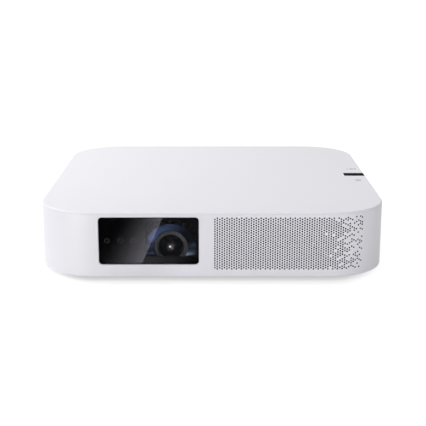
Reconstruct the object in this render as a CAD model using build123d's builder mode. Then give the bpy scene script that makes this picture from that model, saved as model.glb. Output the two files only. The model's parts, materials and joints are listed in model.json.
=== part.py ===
from build123d import *
from math import acos, cos, pi, radians, sin, sqrt, tan
import os
import random

# Home projector. Millimetres, origin on the table below the middle of the body,
# +X to the right seen from the front, +Y to the back, +Z up.

# Body
BODY_WIDTH = 201.0
BODY_DEPTH = 201.0
BODY_HEIGHT = 38.0
CORNER_RADIUS = 33.5
WALL = 2.2
EDGE_ROUND = 0.8
FOOT_HEIGHT = 2.0
FOOT_RADIUS = 7.0
TOP_LIP = 1.0
TOP_PLUG = 1.2
BASE_THICKNESS = 2.0
LEDGE = 1.6

# Clearances
CASE_FIT = 0.15
SEAM = 0.1
SEAM_GROOVE = 0.25
RUN_FIT = 0.05
LENS_FIT = 0.1
KEY_FIT = 0.3

# Front window
WINDOW_WIDTH = 56.6
WINDOW_HEIGHT = 27.4
WINDOW_X = -35.9
WINDOW_Z = 23.2
WINDOW_CORNER = 2.0
GLASS_SET_BACK = 0.2
GLASS_THICKNESS = 1.6
MASK_THICKNESS = 0.2
WINDOW_SEAT = 1.5
WINDOW_BEVEL = 0.3
APERTURE_WIDTH = 28.8
APERTURE_HEIGHT = 21.0
APERTURE_X = -23.7
APERTURE_Z = 24.5
APERTURE_CORNER = 3.5

# Perforated field, each hole stands for a cluster of the fine holes
HOLE_COLUMNS = 31
HOLE_ROWS = 11
HOLE_COLUMN_PITCH = 2.74
HOLE_ROW_PITCH = 2.84
HOLE_RADIUS = 0.85
HOLE_FIRST_X = 2.2
HOLE_CENTRE_Z = 21.8
HOLE_FADE_COLUMN = 22
CLOTH_THICKNESS = 0.4

# Lens
LENS_X = -23.6
LENS_Z = 18.2
HOOD_DEPTH = 4.0
HOOD_RING_RADIUS = 14.4
RETAINER_SET_BACK = 2.0
RETAINER_DEPTH = 1.6
LENS_VIEW_RADIUS = 7.2
BARREL_RADIUS = 9.6
BARREL_LENGTH = 37.4
MOUNT_RADIUS = 11.0
GEAR_MODULE = 0.4
RING_TEETH = 66
PINION_TEETH = 14
RING_WIDTH = 8.0
PINION_ANGLE = 45.0
BACKLASH = 0.12
MOTOR_RADIUS = 4.0
PIN_RADIUS = 0.8

# Optical engine
ENGINE_SET_BACK = 55.5
ENGINE_LEFT = -44.0
ENGINE_RIGHT = 46.0
ENGINE_DEPTH = 27.0
ENGINE_WALL = 2.0
ENGINE_FLOOR = 1.4
ENGINE_RISE = 12.8
PRISM_SIZE = 20.0
RELAY_RADIUS = 9.0
RED_X = 24.0
BLUE_X = 4.0
COLLIMATOR_RADIUS = 7.0
PLATE_SIZE = 18.0
PIPE_RADIUS = 2.0
PIPE_X = 17.0
PIPE_BEND = 7.0

# Cooling
FAN_X = 50.0
FAN_BOX = 58.0
FAN_RADIUS = 24.0
FAN_HEIGHT = 14.0
FAN_BLADES = 23
FAN_WALL = 1.2
SHAFT_RADIUS = 1.0
FIN_DEPTH = 26.0
FIN_LEFT = 24.0
FIN_RIGHT = 78.0
FIN_HEIGHT = 19.4
FIN_PITCH = 2.25
FAN_GAP = 3.0
PIPE_SET_BACK = 3.5
FRONT_SLACK = 7.5
BACK_SLACK = 14.3

# Sound
BOX_LEFT = 3.0
BOX_RIGHT = 67.0
BOX_DEPTH = 31.9
BOX_WALL = 1.6
SPEAKER_RADIUS = 12.0
SPEAKER_XS = (19.5, 50.5)
SPEAKER_Z = 21.4

# Boards and ports
BOARD_THICKNESS = 1.6
BOARD_LEFT = -78.0
BOARD_RIGHT = 12.0
BOARD_DEPTH = 68.0
BOARD_RISE = 4.4
PORT_SET_BACK = 1.0
PANEL_THICKNESS = 2.0
PANEL_LEFT = -65.0
PANEL_RIGHT = 11.5
PANEL_LOW = 8.4
PANEL_HIGH = 28.4
DC_X = -59.0
AUDIO_X = -48.0
HDMI_XS = (-34.5, -16.5)
USB_X = 1.5
AUDIO_BORE = 1.8
TRIPOD_BORE = 2.55
TRIPOD_LEAD = 11.0

# Keys and control strip
STRIP_WIDTH = 8.4
STRIP_RUN = 13.5
STRIP_DROP = 20.0
STRIP_THICKNESS = 1.6
KEY_Z = 24.0
KEY_HEIGHT = 5.0
POWER_Y = -17.2
POWER_LENGTH = 10.0
ROCKER_Y = 19.0
ROCKER_LENGTH = 22.0
KEY_BOARD_GAP = 5.4

# Levels and planes that follow from them
BASE_Z = FOOT_HEIGHT
FLOOR_Z = BASE_Z + BASE_THICKNESS
SUPPORT_Z = FLOOR_Z + LEDGE
TOP_Z = FOOT_HEIGHT + BODY_HEIGHT
LIP_Z = TOP_Z - TOP_LIP
CEILING_Z = LIP_Z - TOP_PLUG
FRONT_Y = -BODY_DEPTH / 2
BACK_Y = BODY_DEPTH / 2
RIGHT_X = BODY_WIDTH / 2
SEAM_Y = FRONT_Y + CORNER_RADIUS + 5.0
SEAT_Y = FRONT_Y + GLASS_SET_BACK + GLASS_THICKNESS + MASK_THICKNESS
HOOD_Y = SEAT_Y + WINDOW_SEAT
RETAINER_Y = HOOD_Y + RETAINER_SET_BACK
BARREL_Y = RETAINER_Y + RETAINER_DEPTH
BARREL_END_Y = BARREL_Y + BARREL_LENGTH
ENGINE_Y = FRONT_Y + ENGINE_SET_BACK
ENGINE_BACK_Y = ENGINE_Y + ENGINE_DEPTH
ENGINE_TOP_Z = LENS_Z + ENGINE_RISE
ENGINE_INSIDE_Z = SUPPORT_Z + ENGINE_FLOOR
LIGHT_Y = ENGINE_Y + 13.0
RING_Y = ENGINE_Y - 17.0
POSTS = [(sx * (RIGHT_X - 16.5), sy * (BACK_Y - 28.5)) for sx in (-1, 1) for sy in (-1, 1)]
FEET = [(sx * (RIGHT_X - 42.5), sy * (BACK_Y - 18.5)) for sx in (-1, 1) for sy in (-1, 1)]
# Blower and fins share the free room between the heat pipes and the rear wall
PIPE_BACK_Y = ENGINE_BACK_Y + PIPE_SET_BACK + 2 * PIPE_RADIUS
COOLING_ROOM = BACK_Y - WALL - PIPE_BACK_Y - FAN_BOX - FAN_GAP - FIN_DEPTH
FIN_BACK_Y = BACK_Y - WALL - COOLING_ROOM * BACK_SLACK / (FRONT_SLACK + BACK_SLACK)
FIN_Y = FIN_BACK_Y - FIN_DEPTH
FAN_Y = FIN_Y - FAN_GAP - FAN_BOX / 2
FAN_TOP_Z = SUPPORT_Z + FAN_HEIGHT
BOARD_Z = FLOOR_Z + BOARD_RISE
BOARD_TOP_Z = BOARD_Z + BOARD_THICKNESS
BOARD_BACK_Y = BACK_Y - 6.5
BOARD_Y = BOARD_BACK_Y - BOARD_DEPTH
TRIPOD_Y = BOARD_Y - TRIPOD_LEAD
PORT_Y = BACK_Y - PORT_SET_BACK
BOX_Y = FRONT_Y + WALL + CLOTH_THICKNESS
KEY_BOARD_X = RIGHT_X - WALL - KEY_BOARD_GAP
STRIP_LEFT = RIGHT_X - STRIP_RUN

LENS_AXIS = Axis((LENS_X, 0, LENS_Z), (0, 1, 0))
LENS_PLANE = Plane((LENS_X, 0, LENS_Z))

os.makedirs("parts", exist_ok=True)


def level(z):
    """Sketch plane at height z."""
    return Plane.XY.offset(z)


def facing_front(y):
    """Sketch plane across the body at depth y: local X is X, local Y is Z, normal to the front."""
    return Plane.XZ.offset(-y)


def facing_right(x):
    """Sketch plane along the body at x: local X is Y, local Y is Z, normal to the right."""
    return Plane.YZ.offset(x)


def outline(inset, mode=Mode.ADD):
    """Plan of the body, drawn in by inset, in the sketch being built."""
    RectangleRounded(BODY_WIDTH - 2 * inset, BODY_DEPTH - 2 * inset, CORNER_RADIUS - inset, mode=mode)


def area(u, v, mode=Mode.ADD):
    """Rectangle between two values of each sketch axis."""
    with Locations(((u[0] + u[1]) / 2, (v[0] + v[1]) / 2)):
        Rectangle(u[1] - u[0], v[1] - v[0], mode=mode)


def block(x, y, z, mode=Mode.ADD):
    """Box between two X, two Y and two Z values in the part being built."""
    with Locations(((x[0] + x[1]) / 2, (y[0] + y[1]) / 2, (z[0] + z[1]) / 2)):
        Box(x[1] - x[0], y[1] - y[0], z[1] - z[0], mode=mode)


def rod_x(x, y, z, radius, mode=Mode.ADD):
    """Cylinder along X between two X values."""
    with Locations(((x[0] + x[1]) / 2, y, z)):
        Cylinder(radius, x[1] - x[0], rotation=(0, 90, 0), mode=mode)


def rod_y(x, y, z, radius, mode=Mode.ADD):
    """Cylinder along Y between two Y values."""
    with Locations((x, (y[0] + y[1]) / 2, z)):
        Cylinder(radius, y[1] - y[0], rotation=(90, 0, 0), mode=mode)


def rod_z(x, y, z, radius, mode=Mode.ADD):
    """Cylinder along Z between two Z values."""
    with Locations((x, y, (z[0] + z[1]) / 2)):
        Cylinder(radius, z[1] - z[0], mode=mode)


def wall_ring():
    """Side wall all round, with a rounded foot, a seam groove under the lip and the ledge on the base."""
    with BuildPart() as ring:
        with BuildSketch(level(BASE_Z)):
            outline(0)
            outline(WALL, Mode.SUBTRACT)
        extrude(amount=LIP_Z - BASE_Z)
        fillet(ring.faces().sort_by(Axis.Z)[0].outer_wire().edges(), EDGE_ROUND)
        chamfer(ring.faces().sort_by(Axis.Z)[-1].outer_wire().edges(), SEAM_GROOVE)
        with BuildSketch(level(FLOOR_Z)):
            outline(WALL)
            outline(WALL + LEDGE, Mode.SUBTRACT)
        extrude(amount=LEDGE)
    return ring.part


def gear_points(teeth):
    """Corner points of an involute gear whose teeth are thinned by the backlash."""
    pitch = GEAR_MODULE * teeth / 2
    base = pitch * cos(radians(20))
    root = pitch - 1.25 * GEAR_MODULE
    radii = (max(root, base), pitch, pitch + GEAR_MODULE)
    points = []
    for tooth in range(teeth):
        middle = 2 * pi * tooth / teeth
        flank = []
        for radius in radii:
            press = acos(min(1, base / radius))
            half = pi / (2 * teeth) - BACKLASH / (2 * pitch)
            half += tan(radians(20)) - radians(20) - tan(press) + press
            flank.append((radius, half))
        if base > root:
            flank.insert(0, (root, flank[0][1]))
        for radius, half in flank:
            points.append((radius * cos(middle - half), radius * sin(middle - half)))
        for radius, half in reversed(flank):
            points.append((radius * cos(middle + half), radius * sin(middle + half)))
    return points


def pin_plane(turn):
    """Plane through the lens axis that faces out along a cam pin."""
    out = (cos(radians(turn)), 0, sin(radians(turn)))
    return Plane((LENS_X, PIN_Y, LENS_Z), x_dir=(0, 1, 0), z_dir=out)


def lens_section(points, cap_from, cap_apex):
    """Half section of a lens: straight points, then an arc from the last one to the apex."""
    radius, start = cap_from
    sag = cap_apex - start
    sphere = (radius * radius + sag * sag) / (2 * abs(sag))
    middle = cap_apex - sphere * (1 if sag > 0 else -1)
    lift = sqrt(sphere * sphere - radius * radius / 4) * (1 if sag > 0 else -1)
    with BuildLine() as half:
        Polyline(*points, cap_from)
        ThreePointArc(cap_from, (radius / 2, middle + lift), (0, cap_apex))
        Line((0, cap_apex), points[0])
    make_face(half.edges())


def save(piece, name):
    """Label a finished piece and write its STEP file."""
    piece.part.label = name
    export_step(piece.part, f"parts/{name}.step")


# Top cover: thin lip over the walls, plug inside them, four screw posts
with BuildPart() as top_cover:
    with BuildSketch(level(LIP_Z)):
        outline(0)
    extrude(amount=TOP_LIP)
    fillet(top_cover.faces().sort_by(Axis.Z)[-1].edges(), EDGE_ROUND)
    with BuildSketch(level(CEILING_Z)):
        outline(WALL + CASE_FIT)
    extrude(amount=TOP_PLUG)
    with BuildSketch(level(FLOOR_Z)):
        with Locations(*POSTS):
            Circle(3.5)
    extrude(amount=CEILING_Z - FLOOR_Z)
    with BuildSketch(level(FLOOR_Z)):
        with Locations(*POSTS):
            Circle(1.1)
    extrude(amount=14.0, mode=Mode.SUBTRACT)
    block((STRIP_LEFT - CASE_FIT, RIGHT_X + 1), (-STRIP_WIDTH / 2 - CASE_FIT, STRIP_WIDTH / 2 + CASE_FIT),
          (LIP_Z, TOP_Z + 1), Mode.SUBTRACT)
save(top_cover, "top_cover")

# Front fascia: front wall and front corners, window pocket, sensor bosses, perforated field
POCKET = (WINDOW_WIDTH + 2 * CASE_FIT, WINDOW_HEIGHT + 2 * CASE_FIT)
FRAME_LOW = WINDOW_Z - WINDOW_HEIGHT / 2 - 2.0
FRAME_HIGH = CEILING_Z - 0.2
FRAME_HALF = WINDOW_WIDTH / 2 + 2.0
SENSOR_Z = WINDOW_Z
SENSOR_XS = (-59.6, -52.0, -44.9)
SENSOR_BOARD_Y = HOOD_Y + 3.0
random.seed(4)
flat_holes = []
corner_holes = []
for column in range(HOLE_COLUMNS):
    along = HOLE_FIRST_X + column * HOLE_COLUMN_PITCH
    rows = HOLE_ROWS - column % 2
    fade = max(0.0, (column - HOLE_FADE_COLUMN) / (HOLE_COLUMNS - HOLE_FADE_COLUMN))
    for row in range(rows):
        height = HOLE_CENTRE_Z + (row - (rows - 1) / 2) * HOLE_ROW_PITCH
        if random.random() < fade * 0.95:
            continue
        if along + HOLE_RADIUS < RIGHT_X - CORNER_RADIUS:
            flat_holes.append((along, height))
        elif along > RIGHT_X - CORNER_RADIUS + 1.0:
            corner_holes.append((along, height))
with BuildPart() as front_fascia:
    add(wall_ring())
    block((-RIGHT_X - 1, RIGHT_X + 1), (FRONT_Y - 1, SEAM_Y - SEAM / 2), (0, TOP_Z), Mode.INTERSECT)
    block((WINDOW_X - FRAME_HALF, WINDOW_X + FRAME_HALF), (FRONT_Y + WALL / 2, HOOD_Y),
          (FRAME_LOW, FRAME_HIGH))
    with BuildSketch(facing_front(FRONT_Y)):
        with Locations((WINDOW_X, WINDOW_Z)):
            RectangleRounded(*POCKET, WINDOW_CORNER + CASE_FIT)
    extrude(amount=FRONT_Y - SEAT_Y, mode=Mode.SUBTRACT)
    chamfer(front_fascia.faces().sort_by(Axis.Y)[0].inner_wires()[0].edges(), WINDOW_BEVEL)
    with BuildSketch(facing_front(SEAT_Y)):
        with Locations((WINDOW_X, WINDOW_Z)):
            RectangleRounded(WINDOW_WIDTH - 2 * WINDOW_SEAT, WINDOW_HEIGHT - 2 * WINDOW_SEAT, WINDOW_CORNER)
    extrude(amount=-WINDOW_SEAT, mode=Mode.SUBTRACT)
    with BuildSketch(facing_front(HOOD_Y)):
        with Locations((WINDOW_X - FRAME_HALF + 1.6, FRAME_LOW + 4),
                       (WINDOW_X - FRAME_HALF + 1.6, FRAME_HIGH - 4)):
            Circle(1.6)
    extrude(amount=HOOD_Y - SENSOR_BOARD_Y)
    centre = RIGHT_X - CORNER_RADIUS
    for along, height in corner_holes:
        turn = (along - centre) / CORNER_RADIUS
        hole_plane = Plane((centre + CORNER_RADIUS * sin(turn), -centre - CORNER_RADIUS * cos(turn), height),
                           x_dir=(cos(turn), sin(turn), 0), z_dir=(sin(turn), -cos(turn), 0))
        with BuildSketch(hole_plane.offset(1)):
            Circle(HOLE_RADIUS)
        extrude(amount=-(WALL + 2), mode=Mode.SUBTRACT)
    with BuildSketch(facing_front(FRONT_Y - 1)):
        with Locations(*flat_holes):
            Circle(HOLE_RADIUS)
    extrude(amount=-(WALL + 2), mode=Mode.SUBTRACT)
save(front_fascia, "front_fascia")

# Acoustic cloth inside the perforated wall
with BuildPart() as grille_cloth:
    with BuildSketch(level(SUPPORT_Z + 0.2)):
        outline(WALL)
        outline(WALL + CLOTH_THICKNESS, Mode.SUBTRACT)
        area((0.0, 91.0), (FRONT_Y, FRONT_Y + 26.0), Mode.INTERSECT)
    extrude(amount=CEILING_Z - 0.2 - SUPPORT_Z - 0.2)
save(grille_cloth, "grille_cloth")

# Rear housing: sides and back, port opening, outlet slots, side inlet slots, key openings
OUTLET_SLOTS = 14
INLET_SLOTS = 22
EAR_X = RIGHT_X - WALL - 1.9
with BuildPart() as rear_housing:
    add(wall_ring())
    block((-RIGHT_X - 1, RIGHT_X + 1), (SEAM_Y + SEAM / 2, BACK_Y + 1), (0, TOP_Z), Mode.INTERSECT)
    for side in (-1, 1):
        inner = side * (RIGHT_X - WALL - SEAM)
        block(sorted((inner, inner - side * 1.2)), (SEAM_Y - 6, SEAM_Y + 6), (SUPPORT_Z + 1, CEILING_Z - 1))
        block(sorted((inner, inner + side * 0.3)), (SEAM_Y + 1, SEAM_Y + 6), (SUPPORT_Z + 1, CEILING_Z - 1))
    block((PANEL_LEFT, PANEL_RIGHT), (BACK_Y - WALL - 1, BACK_Y + 1), (PANEL_LOW, PANEL_HIGH), Mode.SUBTRACT)
    with BuildSketch(facing_front(BACK_Y + 1)):
        with Locations(((FIN_LEFT + RIGHT_X - CORNER_RADIUS) / 2, SUPPORT_Z + FIN_HEIGHT / 2)):
            with GridLocations(2.9, 0, OUTLET_SLOTS, 1):
                SlotOverall(FIN_HEIGHT - 2, 1.6, rotation=90)
    extrude(amount=WALL + 2, mode=Mode.SUBTRACT)
    with BuildSketch(facing_right(-RIGHT_X - 1)):
        with Locations((8.0, 21.0)):
            with GridLocations(3.0, 0, INLET_SLOTS, 1):
                SlotOverall(18.0, 1.6, rotation=90)
    extrude(amount=WALL + 2, mode=Mode.SUBTRACT)
    block((RIGHT_X - STRIP_THICKNESS - CASE_FIT, RIGHT_X + 1),
          (-STRIP_WIDTH / 2 - CASE_FIT, STRIP_WIDTH / 2 + CASE_FIT),
          (TOP_Z - STRIP_DROP - CASE_FIT, TOP_Z), Mode.SUBTRACT)
    with BuildSketch(facing_right(RIGHT_X + 1)):
        with Locations((POWER_Y, KEY_Z)):
            SlotOverall(POWER_LENGTH + 2 * KEY_FIT, KEY_HEIGHT + 2 * KEY_FIT)
        with Locations((ROCKER_Y, KEY_Z)):
            SlotOverall(ROCKER_LENGTH + 2 * KEY_FIT, KEY_HEIGHT + 2 * KEY_FIT)
    extrude(amount=-(WALL + 2), mode=Mode.SUBTRACT)
    for side in (-1, 1):
        ear = KEY_Z + side * (KEY_HEIGHT / 2 + 1.6)
        block((EAR_X - 1.6, RIGHT_X - WALL), (ROCKER_Y - 1.8, ROCKER_Y + 1.8), (ear - 0.8, ear + 0.8))
        rod_z(EAR_X, ROCKER_Y, (ear - 2, ear + 2), PIN_RADIUS + RUN_FIT, Mode.SUBTRACT)
    for along in (POWER_Y - 9, ROCKER_Y + 15):
        rod_x((KEY_BOARD_X, RIGHT_X - WALL / 2), along, KEY_Z, 1.8)
save(rear_housing, "rear_housing")

# Base cover: plate inside the walls, bosses, screw and foot recesses, inlet slots, tripod boss
ENGINE_BOSSES = [(x, y) for x in (ENGINE_LEFT + 5, ENGINE_RIGHT - 5)
                 for y in (ENGINE_Y + 4, ENGINE_BACK_Y - 4)]
BOX_BOSSES = [(x, BOX_Y + BOX_DEPTH - 6) for x in (BOX_LEFT + 6, BOX_RIGHT - 6)]
FAN_BOSSES = [(FAN_X + sx * 25, FAN_Y + sy * 25) for sx in (-1, 1) for sy in (-1, 1)]
FIN_BOSSES = [(x, (FIN_Y + FIN_BACK_Y) / 2) for x in (FIN_LEFT + 6, FIN_RIGHT - 6)]
LOW_BOSSES = ENGINE_BOSSES + BOX_BOSSES + FAN_BOSSES + FIN_BOSSES
POWER_BOARD = ((-93.0, -52.0), (-52.0, 18.0))
BOARD_BOSSES = [(x, y) for x in (BOARD_LEFT + 4, BOARD_RIGHT - 4) for y in (BOARD_Y + 4, BOARD_BACK_Y - 10)]
BOARD_BOSSES += [(x, y) for x in (-89.0, -56.0) for y in (-48.0, 14.0)]
with BuildPart() as base_cover:
    with BuildSketch(level(BASE_Z)):
        outline(WALL + CASE_FIT)
    extrude(amount=BASE_THICKNESS)
    with BuildSketch(level(FLOOR_Z)):
        with Locations(*LOW_BOSSES):
            Circle(3.0)
    extrude(amount=SUPPORT_Z - FLOOR_Z)
    with BuildSketch(level(FLOOR_Z)):
        with Locations(*BOARD_BOSSES):
            Circle(2.6)
    extrude(amount=BOARD_Z - FLOOR_Z)
    rod_z(0, TRIPOD_Y, (FLOOR_Z, FLOOR_Z + 7), 7.0)
    rod_z(0, TRIPOD_Y, (0, FLOOR_Z + 8), 4.5, Mode.SUBTRACT)
    with BuildSketch(level(BASE_Z)):
        with Locations(*POSTS):
            Circle(1.4)
        with Locations((-14.0, -70.0), (FAN_X, FAN_Y)):
            with GridLocations(0, 5.0, 1, 7):
                SlotOverall(34.0, 2.0)
    extrude(amount=BASE_THICKNESS, mode=Mode.SUBTRACT)
    with BuildSketch(level(BASE_Z)):
        with Locations(*POSTS):
            Circle(2.6)
    extrude(amount=1.2, mode=Mode.SUBTRACT)
    with BuildSketch(level(BASE_Z)):
        with Locations(*FEET):
            Circle(FOOT_RADIUS + CASE_FIT)
    extrude(amount=0.6, mode=Mode.SUBTRACT)
save(base_cover, "base_cover")

# Rubber feet, each with a rounded rim
with BuildPart() as rubber_feet:
    with BuildSketch():
        with Locations(*FEET):
            Circle(FOOT_RADIUS)
    extrude(amount=FOOT_HEIGHT + 0.6)
    fillet(rubber_feet.edges().group_by(Axis.Z)[0], 0.6)
save(rubber_feet, "rubber_feet")

# Screws from the base into the posts
with BuildPart() as base_screws:
    with BuildSketch(level(BASE_Z + 0.1)):
        with Locations(*POSTS):
            Circle(2.3)
    extrude(amount=1.1)
    with BuildSketch(level(BASE_Z + 1.2)):
        with Locations(*POSTS):
            Circle(1.05)
    extrude(amount=10.0)
    with BuildSketch(level(BASE_Z + 0.1)):
        with Locations(*POSTS):
            Rectangle(2.6, 0.6)
            Rectangle(0.6, 2.6)
    extrude(amount=0.7, mode=Mode.SUBTRACT)
save(base_screws, "base_screws")

# Brass tripod insert
with BuildPart() as tripod_insert:
    rod_z(0, TRIPOD_Y, (BASE_Z, FLOOR_Z + 7), 4.5 - 0.02)
    rod_z(0, TRIPOD_Y, (BASE_Z, FLOOR_Z + 5.5), TRIPOD_BORE, Mode.SUBTRACT)
save(tripod_insert, "tripod_insert")

# Control strip: one bar over the right edge, flush with the top and the side
with BuildPart() as control_strip:
    with BuildSketch(level(TOP_Z - STRIP_DROP)):
        area((STRIP_LEFT, RIGHT_X), (-STRIP_WIDTH / 2, STRIP_WIDTH / 2))
    extrude(amount=STRIP_DROP)
    fillet(control_strip.edges().filter_by(Axis.Y).group_by(Axis.Z)[-1].sort_by(Axis.X)[-1], EDGE_ROUND)
    block((STRIP_LEFT, RIGHT_X - STRIP_THICKNESS), (-STRIP_WIDTH, STRIP_WIDTH), (0, LIP_Z), Mode.SUBTRACT)
save(control_strip, "control_strip")

# Front glass
with BuildPart() as front_glass:
    with BuildSketch(facing_front(FRONT_Y + GLASS_SET_BACK)):
        with Locations((WINDOW_X, WINDOW_Z)):
            RectangleRounded(WINDOW_WIDTH, WINDOW_HEIGHT, WINDOW_CORNER)
    extrude(amount=-GLASS_THICKNESS)
    chamfer(front_glass.faces().sort_by(Axis.Y)[0].edges(), 0.25)
save(front_glass, "front_glass")

# Black film behind the glass with the clear aperture and three sensor windows
with BuildPart() as glass_mask:
    with BuildSketch(facing_front(SEAT_Y - MASK_THICKNESS)):
        with Locations((WINDOW_X, WINDOW_Z)):
            RectangleRounded(WINDOW_WIDTH, WINDOW_HEIGHT, WINDOW_CORNER)
        with Locations((APERTURE_X, APERTURE_Z)):
            RectangleRounded(APERTURE_WIDTH, APERTURE_HEIGHT, APERTURE_CORNER, mode=Mode.SUBTRACT)
        with Locations(*[(x, SENSOR_Z) for x in SENSOR_XS]):
            Circle(1.0, mode=Mode.SUBTRACT)
    extrude(amount=-MASK_THICKNESS)
save(glass_mask, "glass_mask")

# Sensor board with a camera and two receivers behind the mask
with BuildPart() as sensor_board:
    block((-68.0, -42.2), (SENSOR_BOARD_Y, SENSOR_BOARD_Y + 1.2), (FRAME_LOW + 1, FRAME_HIGH - 1))
    for number, x in enumerate(SENSOR_XS):
        rod_y(x, (SEAT_Y + 0.2, SENSOR_BOARD_Y), SENSOR_Z, 2.0 if number == 1 else 1.5)
        if number == 1:
            block((x - 3.2, x + 3.2), (SENSOR_BOARD_Y - 2, SENSOR_BOARD_Y), (SENSOR_Z - 3.2, SENSOR_Z + 3.2))
save(sensor_board, "sensor_board")

# Lens hood: plate behind the window seat with a shallow ring cone and the barrel's bore
with BuildPart() as lens_hood:
    block((-41.4, WINDOW_X + FRAME_HALF), (HOOD_Y, HOOD_Y + HOOD_DEPTH), (FRAME_LOW, FRAME_HIGH))
    with BuildSketch(LENS_PLANE):
        with BuildLine():
            Polyline((0, HOOD_Y - 1), (HOOD_RING_RADIUS, HOOD_Y - 1), (HOOD_RING_RADIUS, HOOD_Y),
                     (BARREL_RADIUS + 0.3, HOOD_Y + 1.9), (BARREL_RADIUS + 0.3, HOOD_Y + 5), (0, HOOD_Y + 5),
                     close=True)
        make_face()
    revolve(axis=LENS_AXIS, mode=Mode.SUBTRACT)
save(lens_hood, "lens_hood")

# Retaining ring at the front of the barrel
with BuildPart() as lens_retainer:
    with BuildSketch(LENS_PLANE):
        with BuildLine():
            Polyline((LENS_VIEW_RADIUS, RETAINER_Y + 0.5), (LENS_VIEW_RADIUS + 0.5, RETAINER_Y),
                     (BARREL_RADIUS, RETAINER_Y), (BARREL_RADIUS, BARREL_Y), (8.3, BARREL_Y),
                     (8.3, BARREL_Y + 0.8), (LENS_VIEW_RADIUS, BARREL_Y + 0.8), close=True)
        make_face()
    revolve(axis=LENS_AXIS)
save(lens_retainer, "lens_retainer")

# Sliding barrel with the seats of three elements and the stop
FRONT_LENS_Y = BARREL_Y + 1.9
SHOULDER_Y = FRONT_LENS_Y + 3.0
STOP_Y = BARREL_Y + 14.4
PIN_Y = RING_Y + RING_WIDTH / 2
with BuildPart() as lens_barrel:
    with BuildSketch(LENS_PLANE):
        with BuildLine():
            Polyline((8.4, BARREL_Y), (BARREL_RADIUS, BARREL_Y), (BARREL_RADIUS, BARREL_END_Y),
                     (7.4, BARREL_END_Y), (7.4, BARREL_END_Y - 5), (6.2, BARREL_END_Y - 5),
                     (6.2, STOP_Y + 1), (3.2, STOP_Y + 1), (3.2, STOP_Y), (6.8, STOP_Y), (6.8, SHOULDER_Y),
                     (8.4, SHOULDER_Y), close=True)
        make_face()
    revolve(axis=LENS_AXIS)
    for turn in (90, 210, 330):
        spot = pin_plane(turn)
        with BuildSketch(spot.offset(8.2)):
            Circle(PIN_RADIUS)
        extrude(amount=2, mode=Mode.SUBTRACT)
save(lens_barrel, "lens_barrel")

# Cam pins that stand out of the barrel into the focus ring
with BuildPart() as cam_pins:
    for turn in (90, 210, 330):
        spot = pin_plane(turn)
        with BuildSketch(spot.offset(8.2)):
            Circle(PIN_RADIUS - 0.02)
        extrude(amount=3.5)
save(cam_pins, "cam_pins")

# Front element, and the middle and rear elements behind it
with BuildPart() as front_lens:
    with BuildSketch(LENS_PLANE):
        lens_section([(0, SHOULDER_Y), (8.3, SHOULDER_Y)], (8.3, FRONT_LENS_Y), FRONT_LENS_Y - 2.6)
    revolve(axis=LENS_AXIS)
save(front_lens, "front_lens")
with BuildPart() as inner_lenses:
    with BuildSketch(LENS_PLANE):
        lens_section([(0, STOP_Y), (6.7, STOP_Y)], (6.7, STOP_Y - 2.0), STOP_Y - 4.2)
    revolve(axis=LENS_AXIS)
    with BuildSketch(LENS_PLANE):
        lens_section([(0, BARREL_END_Y - 5), (7.3, BARREL_END_Y - 5)], (7.3, BARREL_END_Y - 2),
                     BARREL_END_Y + 0.5)
    revolve(axis=LENS_AXIS)
save(inner_lenses, "inner_lenses")

# Fixed lens mount: flange on the engine, tube with pin slots, shoulder and clip groove for the ring
CLIP_Y = RING_Y - 0.2 - 0.9
RING_BACK_Y = RING_Y + RING_WIDTH
with BuildPart() as lens_mount:
    with BuildSketch(LENS_PLANE):
        with BuildLine():
            Polyline((BARREL_RADIUS + RUN_FIT, ENGINE_Y + 1.8), (MOUNT_RADIUS, ENGINE_Y + 1.8),
                     (MOUNT_RADIUS, RING_BACK_Y + 1.8), (MOUNT_RADIUS + 0.8, RING_BACK_Y + 1.8),
                     (MOUNT_RADIUS + 0.8, RING_BACK_Y + 0.2), (MOUNT_RADIUS, RING_BACK_Y + 0.2),
                     (MOUNT_RADIUS, CLIP_Y + 0.95), (MOUNT_RADIUS - 0.5, CLIP_Y + 0.95),
                     (MOUNT_RADIUS - 0.5, CLIP_Y - 0.05), (MOUNT_RADIUS, CLIP_Y - 0.05),
                     (MOUNT_RADIUS, ENGINE_Y - 33), (BARREL_RADIUS + RUN_FIT, ENGINE_Y - 33), close=True)
        make_face()
    revolve(axis=LENS_AXIS)
    with BuildSketch(facing_front(ENGINE_Y)):
        with Locations((LENS_X, LENS_Z)):
            RectangleRounded(29.0, 25.0, 3.0)
            Circle(BARREL_RADIUS + RUN_FIT, mode=Mode.SUBTRACT)
    extrude(amount=3.0)
    for turn in (90, 210, 330):
        spot = pin_plane(turn)
        with BuildSketch(spot.offset(9)):
            SlotOverall(2 * PIN_RADIUS + 2.2, 2 * PIN_RADIUS + 0.2)
        extrude(amount=3, mode=Mode.SUBTRACT)
save(lens_mount, "lens_mount")

# Toothed focus ring with the cam groove, and the clip that keeps it on the mount
with BuildPart() as focus_ring:
    with BuildSketch(Plane((LENS_X, RING_Y + RING_WIDTH, LENS_Z), x_dir=(1, 0, 0), z_dir=(0, -1, 0))):
        with BuildLine():
            Polyline(*gear_points(RING_TEETH), close=True)
        make_face()
        Circle(MOUNT_RADIUS + RUN_FIT, mode=Mode.SUBTRACT)
    extrude(amount=RING_WIDTH)
    rod_y(LENS_X, (PIN_Y - PIN_RADIUS - 1.1, PIN_Y + PIN_RADIUS + 1.1), LENS_Z, 12.0, Mode.SUBTRACT)
save(focus_ring, "focus_ring")
with BuildPart() as ring_clip:
    with BuildSketch(LENS_PLANE):
        area((MOUNT_RADIUS - 0.45, MOUNT_RADIUS + 1.4), (CLIP_Y, CLIP_Y + 0.9))
    revolve(axis=LENS_AXIS)
    block((LENS_X - 1.5, LENS_X + 1.5), (CLIP_Y - 1, CLIP_Y + 2), (LENS_Z - 14, LENS_Z), Mode.SUBTRACT)
save(ring_clip, "ring_clip")

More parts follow.
